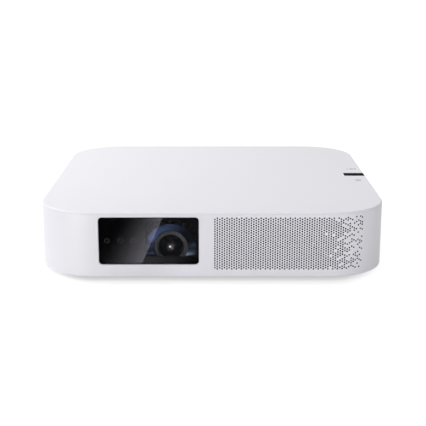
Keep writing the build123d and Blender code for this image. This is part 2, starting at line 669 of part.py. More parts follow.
# Stepper motor and its pinion beside the ring
GEAR_GAP = GEAR_MODULE * (RING_TEETH + PINION_TEETH) / 2
PINION_X = LENS_X + GEAR_GAP * cos(radians(PINION_ANGLE))
PINION_Z = LENS_Z + GEAR_GAP * sin(radians(PINION_ANGLE))
PINION_TURN = PINION_ANGLE + 180 - 180 / PINION_TEETH + PINION_ANGLE * RING_TEETH / PINION_TEETH
MOTOR_Y = RING_Y + RING_WIDTH + 1.0
with BuildPart() as focus_pinion:
    with BuildSketch(Plane((PINION_X, RING_Y + 6.5, PINION_Z), x_dir=(1, 0, 0), z_dir=(0, -1, 0))):
        with BuildLine():
            Polyline(*gear_points(PINION_TEETH), close=True)
        make_face()
    extrude(amount=5.5)
    rod_y(PINION_X, (RING_Y, MOTOR_Y + 2.5), PINION_Z, 0.75)
focus_pinion.part = focus_pinion.part.rotate(Axis((PINION_X, 0, PINION_Z), (0, -1, 0)), PINION_TURN)
save(focus_pinion, "focus_pinion")
with BuildPart() as focus_motor:
    rod_y(PINION_X, (MOTOR_Y, ENGINE_Y - 3.0), PINION_Z, MOTOR_RADIUS)
    rod_y(PINION_X, (MOTOR_Y - 0.6, MOTOR_Y), PINION_Z, 1.6)
    rod_y(PINION_X, (MOTOR_Y - 1, MOTOR_Y + 3), PINION_Z, 0.75 + RUN_FIT, Mode.SUBTRACT)
    block((PINION_X - 2, PINION_X + 2), (MOTOR_Y + 3.5, ENGINE_Y - 3.2), (PINION_Z, PINION_Z + 5.0))
save(focus_motor, "focus_motor")

# Optical engine tray: lens bore, imager window, three LED collars, prism pad
GREEN_PLANE = Plane((ENGINE_RIGHT, LIGHT_Y, LENS_Z), x_dir=(0, 1, 0), z_dir=(-1, 0, 0))
RED_PLANE = Plane((RED_X, ENGINE_BACK_Y, LENS_Z), x_dir=(1, 0, 0), z_dir=(0, -1, 0))
BLUE_PLANE = Plane((BLUE_X, ENGINE_BACK_Y, LENS_Z), x_dir=(1, 0, 0), z_dir=(0, -1, 0))
LED_PLANES = (RED_PLANE, GREEN_PLANE, BLUE_PLANE)
PRISM_X = (LENS_X - PRISM_SIZE / 2, LENS_X + PRISM_SIZE / 2)
PRISM_Y = (LIGHT_Y - PRISM_SIZE / 2, LIGHT_Y + PRISM_SIZE / 2)
PRISM_Z = (LENS_Z - PRISM_SIZE / 2, LENS_Z + PRISM_SIZE / 2)
CELL_X = (PRISM_X[1] + 2.1, PRISM_X[1] + 6.1)
with BuildPart() as engine_tray:
    block((ENGINE_LEFT, ENGINE_RIGHT), (ENGINE_Y, ENGINE_BACK_Y), (SUPPORT_Z, ENGINE_TOP_Z))
    block((ENGINE_LEFT + ENGINE_WALL, ENGINE_RIGHT - ENGINE_WALL),
          (ENGINE_Y + ENGINE_WALL, ENGINE_BACK_Y - ENGINE_WALL), (ENGINE_INSIDE_Z, TOP_Z), Mode.SUBTRACT)
    block(PRISM_X, PRISM_Y, (SUPPORT_Z, PRISM_Z[0]))
    block(CELL_X, (LIGHT_Y - 10, LIGHT_Y + 10), (SUPPORT_Z, LENS_Z + 11))
    rod_x((CELL_X[0] - 0.1, CELL_X[1] + 0.1), LIGHT_Y, LENS_Z, RELAY_RADIUS + LENS_FIT, Mode.SUBTRACT)
    for plane in LED_PLANES:
        with BuildSketch(plane.offset(ENGINE_WALL - 0.5)):
            Circle(COLLIMATOR_RADIUS + 1.6)
        extrude(amount=3.5)
    for plane in LED_PLANES:
        with BuildSketch(plane):
            Circle(COLLIMATOR_RADIUS + LENS_FIT)
        extrude(amount=6.0, mode=Mode.SUBTRACT)
    rod_y(LENS_X, (ENGINE_Y - 1, ENGINE_Y + ENGINE_WALL + 0.1), LENS_Z, MOUNT_RADIUS + RUN_FIT, Mode.SUBTRACT)
    block((LENS_X - 10.2, LENS_X + 10.2), (ENGINE_BACK_Y - ENGINE_WALL - 1, ENGINE_BACK_Y + 1),
          (LENS_Z - 8.2, LENS_Z + 8.2), Mode.SUBTRACT)
save(engine_tray, "engine_tray")
with BuildPart() as engine_cover:
    block((ENGINE_LEFT, ENGINE_RIGHT), (ENGINE_Y, ENGINE_BACK_Y), (ENGINE_TOP_Z, ENGINE_TOP_Z + 2))
    with BuildSketch(level(ENGINE_TOP_Z + 2)):
        with Locations((LENS_X + 25, LIGHT_Y)):
            with GridLocations(10.0, 0, 8, 1):
                Rectangle(1.0, 20.0)
    extrude(amount=0.8)
save(engine_cover, "engine_cover")

# Prism pair
with BuildPart() as prism_pair:
    for low in (True, False):
        with BuildSketch(level(PRISM_Z[0])):
            with BuildLine():
                if low:
                    Polyline((PRISM_X[0] + 0.1, PRISM_Y[0]), (PRISM_X[1], PRISM_Y[0]),
                             (PRISM_X[1], PRISM_Y[1] - 0.1), close=True)
                else:
                    Polyline((PRISM_X[0], PRISM_Y[0] + 0.1), (PRISM_X[1] - 0.1, PRISM_Y[1]),
                             (PRISM_X[0], PRISM_Y[1]), close=True)
            make_face()
        extrude(amount=PRISM_SIZE)
save(prism_pair, "prism_pair")

# Imager on its board, and the flex to the main board
IMAGER_BACK_Y = ENGINE_BACK_Y + BOARD_THICKNESS
with BuildPart() as imager_board:
    block((LENS_X - 17, LENS_X + 17), (ENGINE_BACK_Y, IMAGER_BACK_Y), (LENS_Z - 12, LENS_Z + 13))
    block((LENS_X - 10, LENS_X + 10), (ENGINE_BACK_Y - 3.5, ENGINE_BACK_Y), (LENS_Z - 8, LENS_Z + 8))
    block((LENS_X - 7, LENS_X + 7), (ENGINE_BACK_Y - 4, ENGINE_BACK_Y - 3), (LENS_Z - 5, LENS_Z + 5))
save(imager_board, "imager_board")
FLEX = 0.4
with BuildPart() as imager_flex:
    with BuildSketch(facing_right(LENS_X - 10)):
        with BuildLine():
            FilletPolyline((IMAGER_BACK_Y + FLEX / 2, LENS_Z + 10.6), (IMAGER_BACK_Y + FLEX / 2, LENS_Z + 16),
                           (BOARD_Y + 4, LENS_Z + 16), (BOARD_Y + 4, BOARD_TOP_Z + FLEX / 2),
                           (BOARD_Y + 12, BOARD_TOP_Z + FLEX / 2), radius=2.0)
        trace(line_width=FLEX)
    extrude(amount=20.0)
save(imager_flex, "imager_flex")

# LED boards, collimators, dichroic plates, relay lens and fly-eye plate
with BuildPart() as led_boards:
    for plane in LED_PLANES:
        with BuildSketch(plane):
            Rectangle(18.0, 20.0)
        extrude(amount=-2.0)
        with BuildSketch(plane):
            Rectangle(4.0, 4.0)
        extrude(amount=1.0)
        with BuildSketch(plane.offset(-2.0)):
            with GridLocations(14.0, 16.0, 2, 2):
                Circle(1.2)
        extrude(amount=2.0, mode=Mode.SUBTRACT)
save(led_boards, "led_boards")
with BuildPart() as collimator_lenses:
    for plane in LED_PLANES:
        with BuildSketch(plane.offset(1.3)):
            Circle(COLLIMATOR_RADIUS)
        extrude(amount=3.2)
        with BuildSketch(plane.offset(4.5)):
            Circle(COLLIMATOR_RADIUS)
        extrude(amount=2.0, taper=50.0)
save(collimator_lenses, "collimator_lenses")
with BuildPart() as dichroic_plates:
    for x in (RED_X, BLUE_X):
        with Locations((x, LIGHT_Y, ENGINE_INSIDE_Z + PLATE_SIZE / 2)):
            Box(PLATE_SIZE, 1.0, PLATE_SIZE, rotation=(0, 0, 45))
save(dichroic_plates, "dichroic_plates")
with BuildPart() as relay_optics:
    rod_x((CELL_X[0] + 0.8, CELL_X[1] - 0.8), LIGHT_Y, LENS_Z, RELAY_RADIUS)
    for start, side in ((CELL_X[1] - 0.8, 1), (CELL_X[0] + 0.8, -1)):
        with BuildSketch(Plane((start, LIGHT_Y, LENS_Z), x_dir=(0, 1, 0), z_dir=(side, 0, 0))):
            Circle(RELAY_RADIUS)
        extrude(amount=1.6, taper=60.0)
    block((CELL_X[1] + 2, CELL_X[1] + 4), (LIGHT_Y - 8, LIGHT_Y + 8), (ENGINE_INSIDE_Z, ENGINE_INSIDE_Z + 20))
    with BuildSketch(facing_right(CELL_X[1] + 4)):
        with Locations((LIGHT_Y, LENS_Z)):
            with GridLocations(3.0, 3.0, 5, 5):
                Rectangle(2.6, 2.6)
    extrude(amount=0.5, taper=30)
save(relay_optics, "relay_optics")

# Heat spreader, heat pipes, fin stack and the heat sinks of the imager and the green LED
SPREADER_BACK_Y = ENGINE_BACK_Y + PIPE_SET_BACK
PIPE_Y = SPREADER_BACK_Y + PIPE_RADIUS
PIPE_ZS = (LENS_Z - 4.5, LENS_Z + 4.0)
FIN_PIPE_Y = FIN_Y + FIN_DEPTH * 0.55
with BuildPart() as heat_spreader:
    block((BLUE_X - 9, RED_X + 9), (ENGINE_BACK_Y + 2, SPREADER_BACK_Y), (LENS_Z - 10, LENS_Z + 10))
save(heat_spreader, "heat_spreader")
with BuildPart() as heat_pipes:
    for pipe_z in PIPE_ZS:
        with BuildLine(level(pipe_z)) as pipe_path:
            FilletPolyline((RED_X + 7, PIPE_Y), (PIPE_X, PIPE_Y), (PIPE_X, FIN_PIPE_Y),
                           (FIN_RIGHT - 1, FIN_PIPE_Y), radius=PIPE_BEND)
        with BuildSketch(Plane((RED_X + 7, PIPE_Y, pipe_z), x_dir=(0, 1, 0), z_dir=(-1, 0, 0))):
            Circle(PIPE_RADIUS)
        sweep(path=pipe_path.line)
save(heat_pipes, "heat_pipes")
FIN_COUNT = int((FIN_RIGHT - FIN_LEFT) / FIN_PITCH) + 1
with BuildPart() as fin_stack:
    with BuildSketch(facing_front(FIN_Y)):
        area((FIN_LEFT, FIN_RIGHT), (SUPPORT_Z, SUPPORT_Z + 1.6))
        with Locations(((FIN_LEFT + FIN_RIGHT) / 2, SUPPORT_Z + FIN_HEIGHT / 2)):
            with GridLocations(FIN_PITCH, 0, FIN_COUNT - 1, 1):
                Rectangle(0.6, FIN_HEIGHT)
    extrude(amount=-FIN_DEPTH)
    for pipe_z in PIPE_ZS:
        rod_x((FIN_LEFT - 1, FIN_RIGHT + 1), FIN_PIPE_Y, pipe_z, PIPE_RADIUS + RUN_FIT, Mode.SUBTRACT)
save(fin_stack, "fin_stack")
with BuildPart() as engine_heatsinks:
    with BuildSketch(level(LENS_Z - 10)):
        area((LENS_X - 14, LENS_X + 14), (IMAGER_BACK_Y, IMAGER_BACK_Y + 2))
        with Locations((LENS_X, IMAGER_BACK_Y + 11)):
            with GridLocations(2.7, 0, 11, 1):
                Rectangle(0.9, 19)
        area((ENGINE_RIGHT + 2, ENGINE_RIGHT + 4), (LIGHT_Y - 11, LIGHT_Y + 11))
        with Locations((ENGINE_RIGHT + 12, LIGHT_Y)):
            with GridLocations(0, 2.6, 1, 9):
                Rectangle(17.0, 0.9)
    extrude(amount=20.0)
save(engine_heatsinks, "engine_heatsinks")

# Blower: housing with outlet, stator, bearing, shaft, impeller and cover
HUB_RADIUS = 9.0
WHEEL_Z = SUPPORT_Z + 2.6
FAN_HIGH = FAN_Y + FAN_BOX / 2
POST_TOP_Z = FAN_TOP_Z - 4.6
with BuildPart() as fan_housing:
    with BuildSketch(level(SUPPORT_Z)):
        with Locations((FAN_X, FAN_Y)):
            RectangleRounded(FAN_BOX, FAN_BOX, 5.0)
    extrude(amount=FAN_HEIGHT)
    with BuildSketch(level(SUPPORT_Z + FAN_WALL)):
        with Locations((FAN_X, FAN_Y)):
            Circle(FAN_RADIUS + 2.5)
        area((FAN_X - 4, FAN_X + FAN_RADIUS + 2.5), (FAN_Y, FAN_HIGH + 1))
    extrude(amount=FAN_HEIGHT, mode=Mode.SUBTRACT)
    rod_z(FAN_X, FAN_Y, (SUPPORT_Z, POST_TOP_Z), 3.2)
    rod_z(FAN_X, FAN_Y, (SUPPORT_Z + FAN_WALL, FAN_TOP_Z), 2.0 + 0.02, Mode.SUBTRACT)
save(fan_housing, "fan_housing")
with BuildPart() as fan_bearing:
    rod_z(FAN_X, FAN_Y, (SUPPORT_Z + FAN_WALL + 0.6, POST_TOP_Z), 2.0)
    rod_z(FAN_X, FAN_Y, (SUPPORT_Z, FAN_TOP_Z), SHAFT_RADIUS + RUN_FIT, Mode.SUBTRACT)
save(fan_bearing, "fan_bearing")
with BuildPart() as fan_stator:
    rod_z(FAN_X, FAN_Y, (SUPPORT_Z + 3.2, POST_TOP_Z - 0.6), 6.6)
    with BuildSketch(level(SUPPORT_Z + 3.2)):
        with Locations((FAN_X, FAN_Y)):
            with PolarLocations(5.6, 9):
                Rectangle(3.0, 1.0)
    extrude(amount=FAN_HEIGHT, mode=Mode.SUBTRACT)
    rod_z(FAN_X, FAN_Y, (SUPPORT_Z, FAN_TOP_Z), 3.2 + 0.02, Mode.SUBTRACT)
save(fan_stator, "fan_stator")
with BuildPart() as fan_shaft:
    rod_z(FAN_X, FAN_Y, (SUPPORT_Z + FAN_WALL + 0.7, FAN_TOP_Z - 1.4), SHAFT_RADIUS)
save(fan_shaft, "fan_shaft")
with BuildPart() as fan_impeller:
    rod_z(FAN_X, FAN_Y, (WHEEL_Z, WHEEL_Z + 0.9), FAN_RADIUS)
    with BuildSketch(level(WHEEL_Z)):
        with Locations((FAN_X, FAN_Y)):
            with PolarLocations(FAN_RADIUS - 4.6, FAN_BLADES):
                Rectangle(8.6, 0.8, rotation=38)
    extrude(amount=FAN_TOP_Z - 1.0 - WHEEL_Z)
    rod_z(FAN_X, FAN_Y, (WHEEL_Z, FAN_TOP_Z - 1.4), HUB_RADIUS)
    rod_z(FAN_X, FAN_Y, (WHEEL_Z - 1, POST_TOP_Z + 0.8), HUB_RADIUS - 1.6, Mode.SUBTRACT)
    rod_z(FAN_X, FAN_Y, (WHEEL_Z - 1, FAN_TOP_Z), SHAFT_RADIUS + 0.02, Mode.SUBTRACT)
    hub_top = fan_impeller.faces().filter_by(GeomType.PLANE).group_by(Axis.Z)[-2]
    fillet(hub_top.edges().sort_by(SortBy.RADIUS)[-1], 1.0)
save(fan_impeller, "fan_impeller")
with BuildPart() as fan_cover:
    with BuildSketch(level(FAN_TOP_Z)):
        with Locations((FAN_X, FAN_Y)):
            RectangleRounded(FAN_BOX, FAN_BOX, 5.0)
            Circle(FAN_RADIUS - 6, mode=Mode.SUBTRACT)
    extrude(amount=FAN_WALL)
save(fan_cover, "fan_cover")

# Speaker box, baskets, magnets and cones
BAFFLE_Y = BOX_Y + 2.6
with BuildPart() as speaker_box:
    block((BOX_LEFT, BOX_RIGHT), (BOX_Y, BOX_Y + BOX_DEPTH), (SUPPORT_Z, CEILING_Z - 0.6))
    block((BOX_LEFT + BOX_WALL, BOX_RIGHT - BOX_WALL), (BOX_Y - 1, BAFFLE_Y),
          (SUPPORT_Z + BOX_WALL, CEILING_Z - 0.6 - BOX_WALL), Mode.SUBTRACT)
    block((BOX_LEFT + BOX_WALL, BOX_RIGHT - BOX_WALL), (BAFFLE_Y + 2, BOX_Y + BOX_DEPTH - BOX_WALL),
          (SUPPORT_Z + BOX_WALL, CEILING_Z - 0.6 - BOX_WALL), Mode.SUBTRACT)
    for x in SPEAKER_XS:
        rod_y(x, (BAFFLE_Y - 1, BAFFLE_Y + 3), SPEAKER_Z, SPEAKER_RADIUS + CASE_FIT, Mode.SUBTRACT)
save(speaker_box, "speaker_box")
CUP_Y = BAFFLE_Y + 8.4
CONE_EDGE = SPEAKER_RADIUS - 1.1
with BuildPart() as speaker_baskets:
    for x in SPEAKER_XS:
        with BuildSketch(Plane((x, 0, SPEAKER_Z))):
            with BuildLine():
                Polyline((SPEAKER_RADIUS - 0.8, BAFFLE_Y - 1.5), (SPEAKER_RADIUS + 2, BAFFLE_Y - 1.5),
                         (SPEAKER_RADIUS + 2, BAFFLE_Y), (SPEAKER_RADIUS, BAFFLE_Y),
                         (SPEAKER_RADIUS, CUP_Y + 1), (6.6, CUP_Y + 1), (6.6, CUP_Y),
                         (SPEAKER_RADIUS - 0.8, CUP_Y), close=True)
            make_face()
        revolve(axis=Axis((x, 0, SPEAKER_Z), (0, 1, 0)))
save(speaker_baskets, "speaker_baskets")
with BuildPart() as speaker_magnets:
    for x in SPEAKER_XS:
        with BuildSketch(Plane((x, 0, SPEAKER_Z))):
            with BuildLine():
                Polyline((0, CUP_Y - 0.5), (4.4, CUP_Y - 0.5), (4.4, CUP_Y + 6.5), (5.8, CUP_Y + 6.5),
                         (5.8, CUP_Y + 1), (9.0, CUP_Y + 1), (9.0, CUP_Y + 8), (0, CUP_Y + 8), close=True)
            make_face()
        revolve(axis=Axis((x, 0, SPEAKER_Z), (0, 1, 0)))
save(speaker_magnets, "speaker_magnets")
for cone_name, x in zip(("left_cone", "right_cone"), SPEAKER_XS):
    with BuildPart() as cone:
        with BuildSketch(Plane((x, 0, SPEAKER_Z))):
            with BuildLine():
                Polyline((0, CUP_Y - 4.6), (4.0, CUP_Y - 3.6), (5.3, CUP_Y - 2.9),
                         (CONE_EDGE - 1.7, BAFFLE_Y + 0.4), (CONE_EDGE - 1, BAFFLE_Y - 0.5),
                         (CONE_EDGE, BAFFLE_Y - 0.2), (CONE_EDGE, BAFFLE_Y + 0.2),
                         (CONE_EDGE - 0.8, BAFFLE_Y), (CONE_EDGE - 1.4, BAFFLE_Y + 0.9), (5.4, CUP_Y - 2.2),
                         (5.4, CUP_Y + 4.6), (4.8, CUP_Y + 4.6), (4.8, CUP_Y - 2.6), (4.0, CUP_Y - 3.1),
                         (0, CUP_Y - 4.1), close=True)
            make_face()
        revolve(axis=Axis((x, 0, SPEAKER_Z), (0, 1, 0)))
    save(cone, cone_name)

# Main board, its chips and shield, and the power board
with BuildPart() as main_board:
    block((BOARD_LEFT, BOARD_RIGHT), (BOARD_Y, BOARD_BACK_Y), (BOARD_Z, BOARD_TOP_Z))
save(main_board, "main_board")
with BuildPart() as board_chips:
    block((-62, -44), (BOARD_Y + 14, BOARD_Y + 32), (BOARD_TOP_Z, BOARD_TOP_Z + 2.0))
    block((-40, -28), (BOARD_Y + 20, BOARD_Y + 32), (BOARD_TOP_Z, BOARD_TOP_Z + 1.2))
    block((-74, -66), (BOARD_Y + 10, BOARD_Y + 24), (BOARD_TOP_Z, BOARD_TOP_Z + 1.2))
    block((-10, 6), (BOARD_Y + 10, BOARD_Y + 34), (BOARD_TOP_Z, BOARD_TOP_Z + 3.0))
    with BuildSketch(level(BOARD_TOP_Z)):
        with Locations((-68, BOARD_Y + 34), (-22, BOARD_Y + 36)):
            with GridLocations(7.0, 0, 2, 1):
                Circle(2.4)
    extrude(amount=6.0)
save(board_chips, "board_chips")
with BuildPart() as power_board:
    block(*POWER_BOARD, (BOARD_Z, BOARD_TOP_Z))
    for y in (-40, -24, -8):
        block((-86, -74), (y - 5, y + 5), (BOARD_TOP_Z, BOARD_TOP_Z + 6))
        rod_z(-62, y, (BOARD_TOP_Z, BOARD_TOP_Z + 11), 4.0)
save(power_board, "power_board")

# Rear ports on the main board
BOARD_PORT_Y = PORT_Y - 14.0
HDMI_Z = BOARD_TOP_Z + 2.8
with BuildPart() as hdmi_ports:
    for x in HDMI_XS:
        with BuildSketch(facing_front(PORT_Y)):
            with BuildLine():
                Polyline((x - 7.5, HDMI_Z + 2.8), (x + 7.5, HDMI_Z + 2.8), (x + 7.5, HDMI_Z - 0.6),
                         (x + 5.3, HDMI_Z - 2.8), (x - 5.3, HDMI_Z - 2.8), (x - 7.5, HDMI_Z - 0.6),
                         close=True)
            make_face()
        extrude(amount=12.0)
        with BuildSketch(facing_front(PORT_Y)):
            with BuildLine():
                Polyline((x - 7.0, HDMI_Z + 2.3), (x + 7.0, HDMI_Z + 2.3), (x + 7.0, HDMI_Z - 0.4),
                         (x + 5.1, HDMI_Z - 2.3), (x - 5.1, HDMI_Z - 2.3), (x - 7.0, HDMI_Z - 0.4),
                         close=True)
            make_face()
        extrude(amount=10.5, mode=Mode.SUBTRACT)
        block((x - 5.5, x + 5.5), (PORT_Y - 10.8, PORT_Y - 1.6), (HDMI_Z, HDMI_Z + 1.1))
save(hdmi_ports, "hdmi_ports")
with BuildPart() as usb_ports:
    block((USB_X - 7.2, USB_X + 7.2), (BOARD_PORT_Y, PORT_Y), (BOARD_TOP_Z, BOARD_TOP_Z + 15.6))
    for low in (BOARD_TOP_Z + 1.2, BOARD_TOP_Z + 9.2):
        block((USB_X - 6.25, USB_X + 6.25), (PORT_Y - 9.5, PORT_Y + 1), (low, low + 5.1), Mode.SUBTRACT)
        block((USB_X - 5.6, USB_X + 5.6), (PORT_Y - 10, PORT_Y - 1.0), (low + 2.6, low + 4.4))
save(usb_ports, "usb_ports")
AUDIO_Z = BOARD_TOP_Z + 3.6
with BuildPart() as audio_jack:
    block((AUDIO_X - 3.5, AUDIO_X + 3.5), (BOARD_PORT_Y, PORT_Y - PANEL_THICKNESS),
          (BOARD_TOP_Z, BOARD_TOP_Z + 7))
    rod_y(AUDIO_X, (PORT_Y - PANEL_THICKNESS - 1, PORT_Y), AUDIO_Z, 3.0)
    rod_y(AUDIO_X, (PORT_Y - 12, PORT_Y + 1), AUDIO_Z, AUDIO_BORE, Mode.SUBTRACT)
save(audio_jack, "audio_jack")
DC_Z = BOARD_TOP_Z + 5.4
with BuildPart() as dc_jack:
    block((DC_X - 4.5, DC_X + 4.5), (BOARD_PORT_Y, PORT_Y), (BOARD_TOP_Z, BOARD_TOP_Z + 10.8))
    rod_y(DC_X, (PORT_Y - 9.5, PORT_Y + 1), DC_Z, 3.2, Mode.SUBTRACT)
    rod_y(DC_X, (PORT_Y - 10, PORT_Y - 0.8), DC_Z, 1.25)
save(dc_jack, "dc_jack")
PORT_FIT = 0.2
with BuildPart() as io_panel:
    block((PANEL_LEFT + CASE_FIT, PANEL_RIGHT - CASE_FIT), (PORT_Y - PANEL_THICKNESS, PORT_Y),
          (PANEL_LOW + CASE_FIT, PANEL_HIGH - CASE_FIT))
    block((PANEL_LEFT - 1.4, PANEL_RIGHT + 1.4), (PORT_Y - PANEL_THICKNESS, BACK_Y - WALL),
          (PANEL_LOW - 1.4, PANEL_HIGH + 1.4))
    with BuildSketch(facing_front(PORT_Y + 1)):
        for x in HDMI_XS:
            with Locations((x, HDMI_Z)):
                Rectangle(15.0 + 2 * PORT_FIT, 5.6 + 2 * PORT_FIT)
        area((USB_X - 7.2 - PORT_FIT, USB_X + 7.2 + PORT_FIT),
             (BOARD_TOP_Z - PORT_FIT, BOARD_TOP_Z + 15.6 + PORT_FIT))
        area((DC_X - 4.5 - PORT_FIT, DC_X + 4.5 + PORT_FIT),
             (BOARD_TOP_Z - PORT_FIT, BOARD_TOP_Z + 10.8 + PORT_FIT))
        with Locations((AUDIO_X, AUDIO_Z)):
            Circle(3.0 + PORT_FIT)
    extrude(amount=5.0, mode=Mode.SUBTRACT)
save(io_panel, "io_panel")

# Keys on the right side, the rocker's pin and the board with their switches
FLANGE_X = RIGHT_X - WALL - 0.3
with BuildPart() as power_button:
    with BuildSketch(facing_right(FLANGE_X - 1.2)):
        with Locations((POWER_Y, KEY_Z)):
            SlotOverall(POWER_LENGTH, KEY_HEIGHT)
    extrude(amount=RIGHT_X - 0.1 - FLANGE_X + 1.2)
    fillet(power_button.faces().sort_by(Axis.X)[-1].edges(), 0.4)
    with BuildSketch(facing_right(FLANGE_X - 1.2)):
        with Locations((POWER_Y, KEY_Z)):
            SlotOverall(POWER_LENGTH + 2.4, KEY_HEIGHT + 2.4)
    extrude(amount=1.2)
save(power_button, "power_button")
with BuildPart() as volume_rocker:
    with BuildSketch(facing_right(EAR_X - 1.4)):
        with Locations((ROCKER_Y, KEY_Z)):
            SlotOverall(ROCKER_LENGTH, KEY_HEIGHT)
    extrude(amount=RIGHT_X - 0.1 - EAR_X + 1.4)
    fillet(volume_rocker.faces().sort_by(Axis.X)[-1].edges(), 0.4)
    rod_z(EAR_X, ROCKER_Y, (KEY_Z - 5, KEY_Z + 5), PIN_RADIUS + RUN_FIT, Mode.SUBTRACT)
save(volume_rocker, "volume_rocker")
with BuildPart() as rocker_pin:
    rod_z(EAR_X, ROCKER_Y, (KEY_Z - KEY_HEIGHT / 2 - 2.6, KEY_Z + KEY_HEIGHT / 2 + 2.6), PIN_RADIUS)
save(rocker_pin, "rocker_pin")
POWER_TIP_X = FLANGE_X - 1.2 - 0.7
ROCKER_TIP_X = EAR_X - 1.4 - 0.75
with BuildPart() as key_board:
    block((KEY_BOARD_X - 1.2, KEY_BOARD_X), (POWER_Y - 12, ROCKER_Y + 18), (KEY_Z - 7, KEY_Z + 7))
    for along, tip in ((POWER_Y, POWER_TIP_X), (ROCKER_Y - 8, ROCKER_TIP_X), (ROCKER_Y + 8, ROCKER_TIP_X)):
        block((KEY_BOARD_X, KEY_BOARD_X + 0.8), (along - 2, along + 2), (KEY_Z - 2, KEY_Z + 2))
        rod_x((KEY_BOARD_X, tip), along, KEY_Z, 1.0)
    block((KEY_BOARD_X, KEY_BOARD_X + 0.8), (-1, 1), (KEY_Z - 0.6, KEY_Z + 0.6))
save(key_board, "key_board")
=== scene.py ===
"""Finished look of a flat home projector, built over its packed engineering frame."""

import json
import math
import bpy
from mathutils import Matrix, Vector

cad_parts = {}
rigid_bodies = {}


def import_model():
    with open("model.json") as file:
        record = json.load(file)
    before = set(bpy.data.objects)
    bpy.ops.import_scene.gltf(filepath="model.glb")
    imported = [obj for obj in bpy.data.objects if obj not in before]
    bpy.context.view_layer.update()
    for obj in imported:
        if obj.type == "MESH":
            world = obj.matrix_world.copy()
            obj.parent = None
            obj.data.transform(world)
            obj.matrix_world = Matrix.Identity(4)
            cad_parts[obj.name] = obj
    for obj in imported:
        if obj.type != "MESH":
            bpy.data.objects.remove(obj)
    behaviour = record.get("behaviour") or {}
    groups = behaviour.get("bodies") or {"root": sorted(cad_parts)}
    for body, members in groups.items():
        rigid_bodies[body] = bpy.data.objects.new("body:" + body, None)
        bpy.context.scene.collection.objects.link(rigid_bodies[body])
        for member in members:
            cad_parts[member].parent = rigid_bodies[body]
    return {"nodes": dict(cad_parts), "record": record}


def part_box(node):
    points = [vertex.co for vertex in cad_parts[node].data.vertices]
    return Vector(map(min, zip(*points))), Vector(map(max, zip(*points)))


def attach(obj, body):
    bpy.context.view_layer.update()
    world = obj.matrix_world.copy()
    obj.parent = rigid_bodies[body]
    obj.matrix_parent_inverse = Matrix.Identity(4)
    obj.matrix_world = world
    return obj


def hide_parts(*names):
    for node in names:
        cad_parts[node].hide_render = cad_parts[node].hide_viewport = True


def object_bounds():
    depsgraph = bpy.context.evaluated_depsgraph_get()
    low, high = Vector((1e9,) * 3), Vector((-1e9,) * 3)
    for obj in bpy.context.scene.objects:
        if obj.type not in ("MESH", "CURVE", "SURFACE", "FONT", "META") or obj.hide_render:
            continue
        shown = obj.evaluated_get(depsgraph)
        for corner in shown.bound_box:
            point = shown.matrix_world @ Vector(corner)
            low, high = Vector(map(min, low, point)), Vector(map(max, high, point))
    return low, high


bl_info = {
    "name": "Home Projector",
    "version": (1, 0, 0),
    "blender": (4, 5, 0),
    "location": "3D View > Sidebar > Projector",
    "description": "Builds the finished surfaces of a flat home projector over its engineering frame",
    "category": "Object",
}

import bmesh
import bpy
from bpy.props import FloatProperty, FloatVectorProperty, IntProperty, PointerProperty
from mathutils import Vector

for stray in list(bpy.data.objects):
    bpy.data.objects.remove(stray)
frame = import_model()
NODES = frame["nodes"]
CAD_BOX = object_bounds()
MM = 0.001
WHITE = (1.0, 1.0, 1.0)
WALL_LOW, WALL_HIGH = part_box("front_fascia")
GLASS_LOW, GLASS_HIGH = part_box("front_glass")
GLASS_MIDDLE = ((GLASS_LOW.x + GLASS_HIGH.x) / 2, (GLASS_LOW.z + GLASS_HIGH.z) / 2)
GLASS_WIDTH, GLASS_HEIGHT = GLASS_HIGH.x - GLASS_LOW.x, GLASS_HIGH.z - GLASS_LOW.z
HOOD_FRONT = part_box("lens_hood")[0].y
LENS_LOW, LENS_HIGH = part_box("front_lens")
LENS_AXIS = ((LENS_LOW.x + LENS_HIGH.x) / 2, (LENS_LOW.z + LENS_HIGH.z) / 2)
SENSOR_XS = (-59.6 * MM, -52.0 * MM, -44.9 * MM)
SENSOR_Z = 23.2 * MM

# Engineering nodes by the operator that finishes them; all others lie inside
SHELL_NODES = ("top_cover", "rear_housing", "power_button", "volume_rocker", "control_strip")
FRONT_NODES = ("front_fascia", "grille_cloth", "front_glass", "glass_mask", "sensor_board")
LENS_NODES = ("lens_hood", "lens_retainer", "lens_barrel", "cam_pins", "front_lens", "inner_lenses",
              "lens_mount", "focus_ring", "ring_clip", "focus_pinion", "focus_motor")
SOCKET_NODES = ("io_panel", "hdmi_ports", "usb_ports", "audio_jack", "dc_jack")
BASE_NODES = ("base_cover", "rubber_feet", "base_screws", "tripod_insert")


def tone(red, green, blue):
    """Linear colour from the three values of a colour picker, 0 to 255."""
    return tuple(((v / 255 + 0.055) / 1.055) ** 2.4 if v > 10 else v / 3294.6 for v in (red, green, blue))


def shade(colour, factor):
    """A colour made lighter or darker."""
    return tuple(min(1.0, part * factor) for part in colour[:3])


def size(label, note, value, **more):
    """A length in metres that a user may change."""
    return FloatProperty(name=label, description=note, default=value, unit="LENGTH", precision=5, **more)


def paint(label, note, value):
    """A colour that a user may change."""
    return FloatVectorProperty(name=label, description=note, default=value, subtype="COLOR",
                               min=0.0, max=1.0)


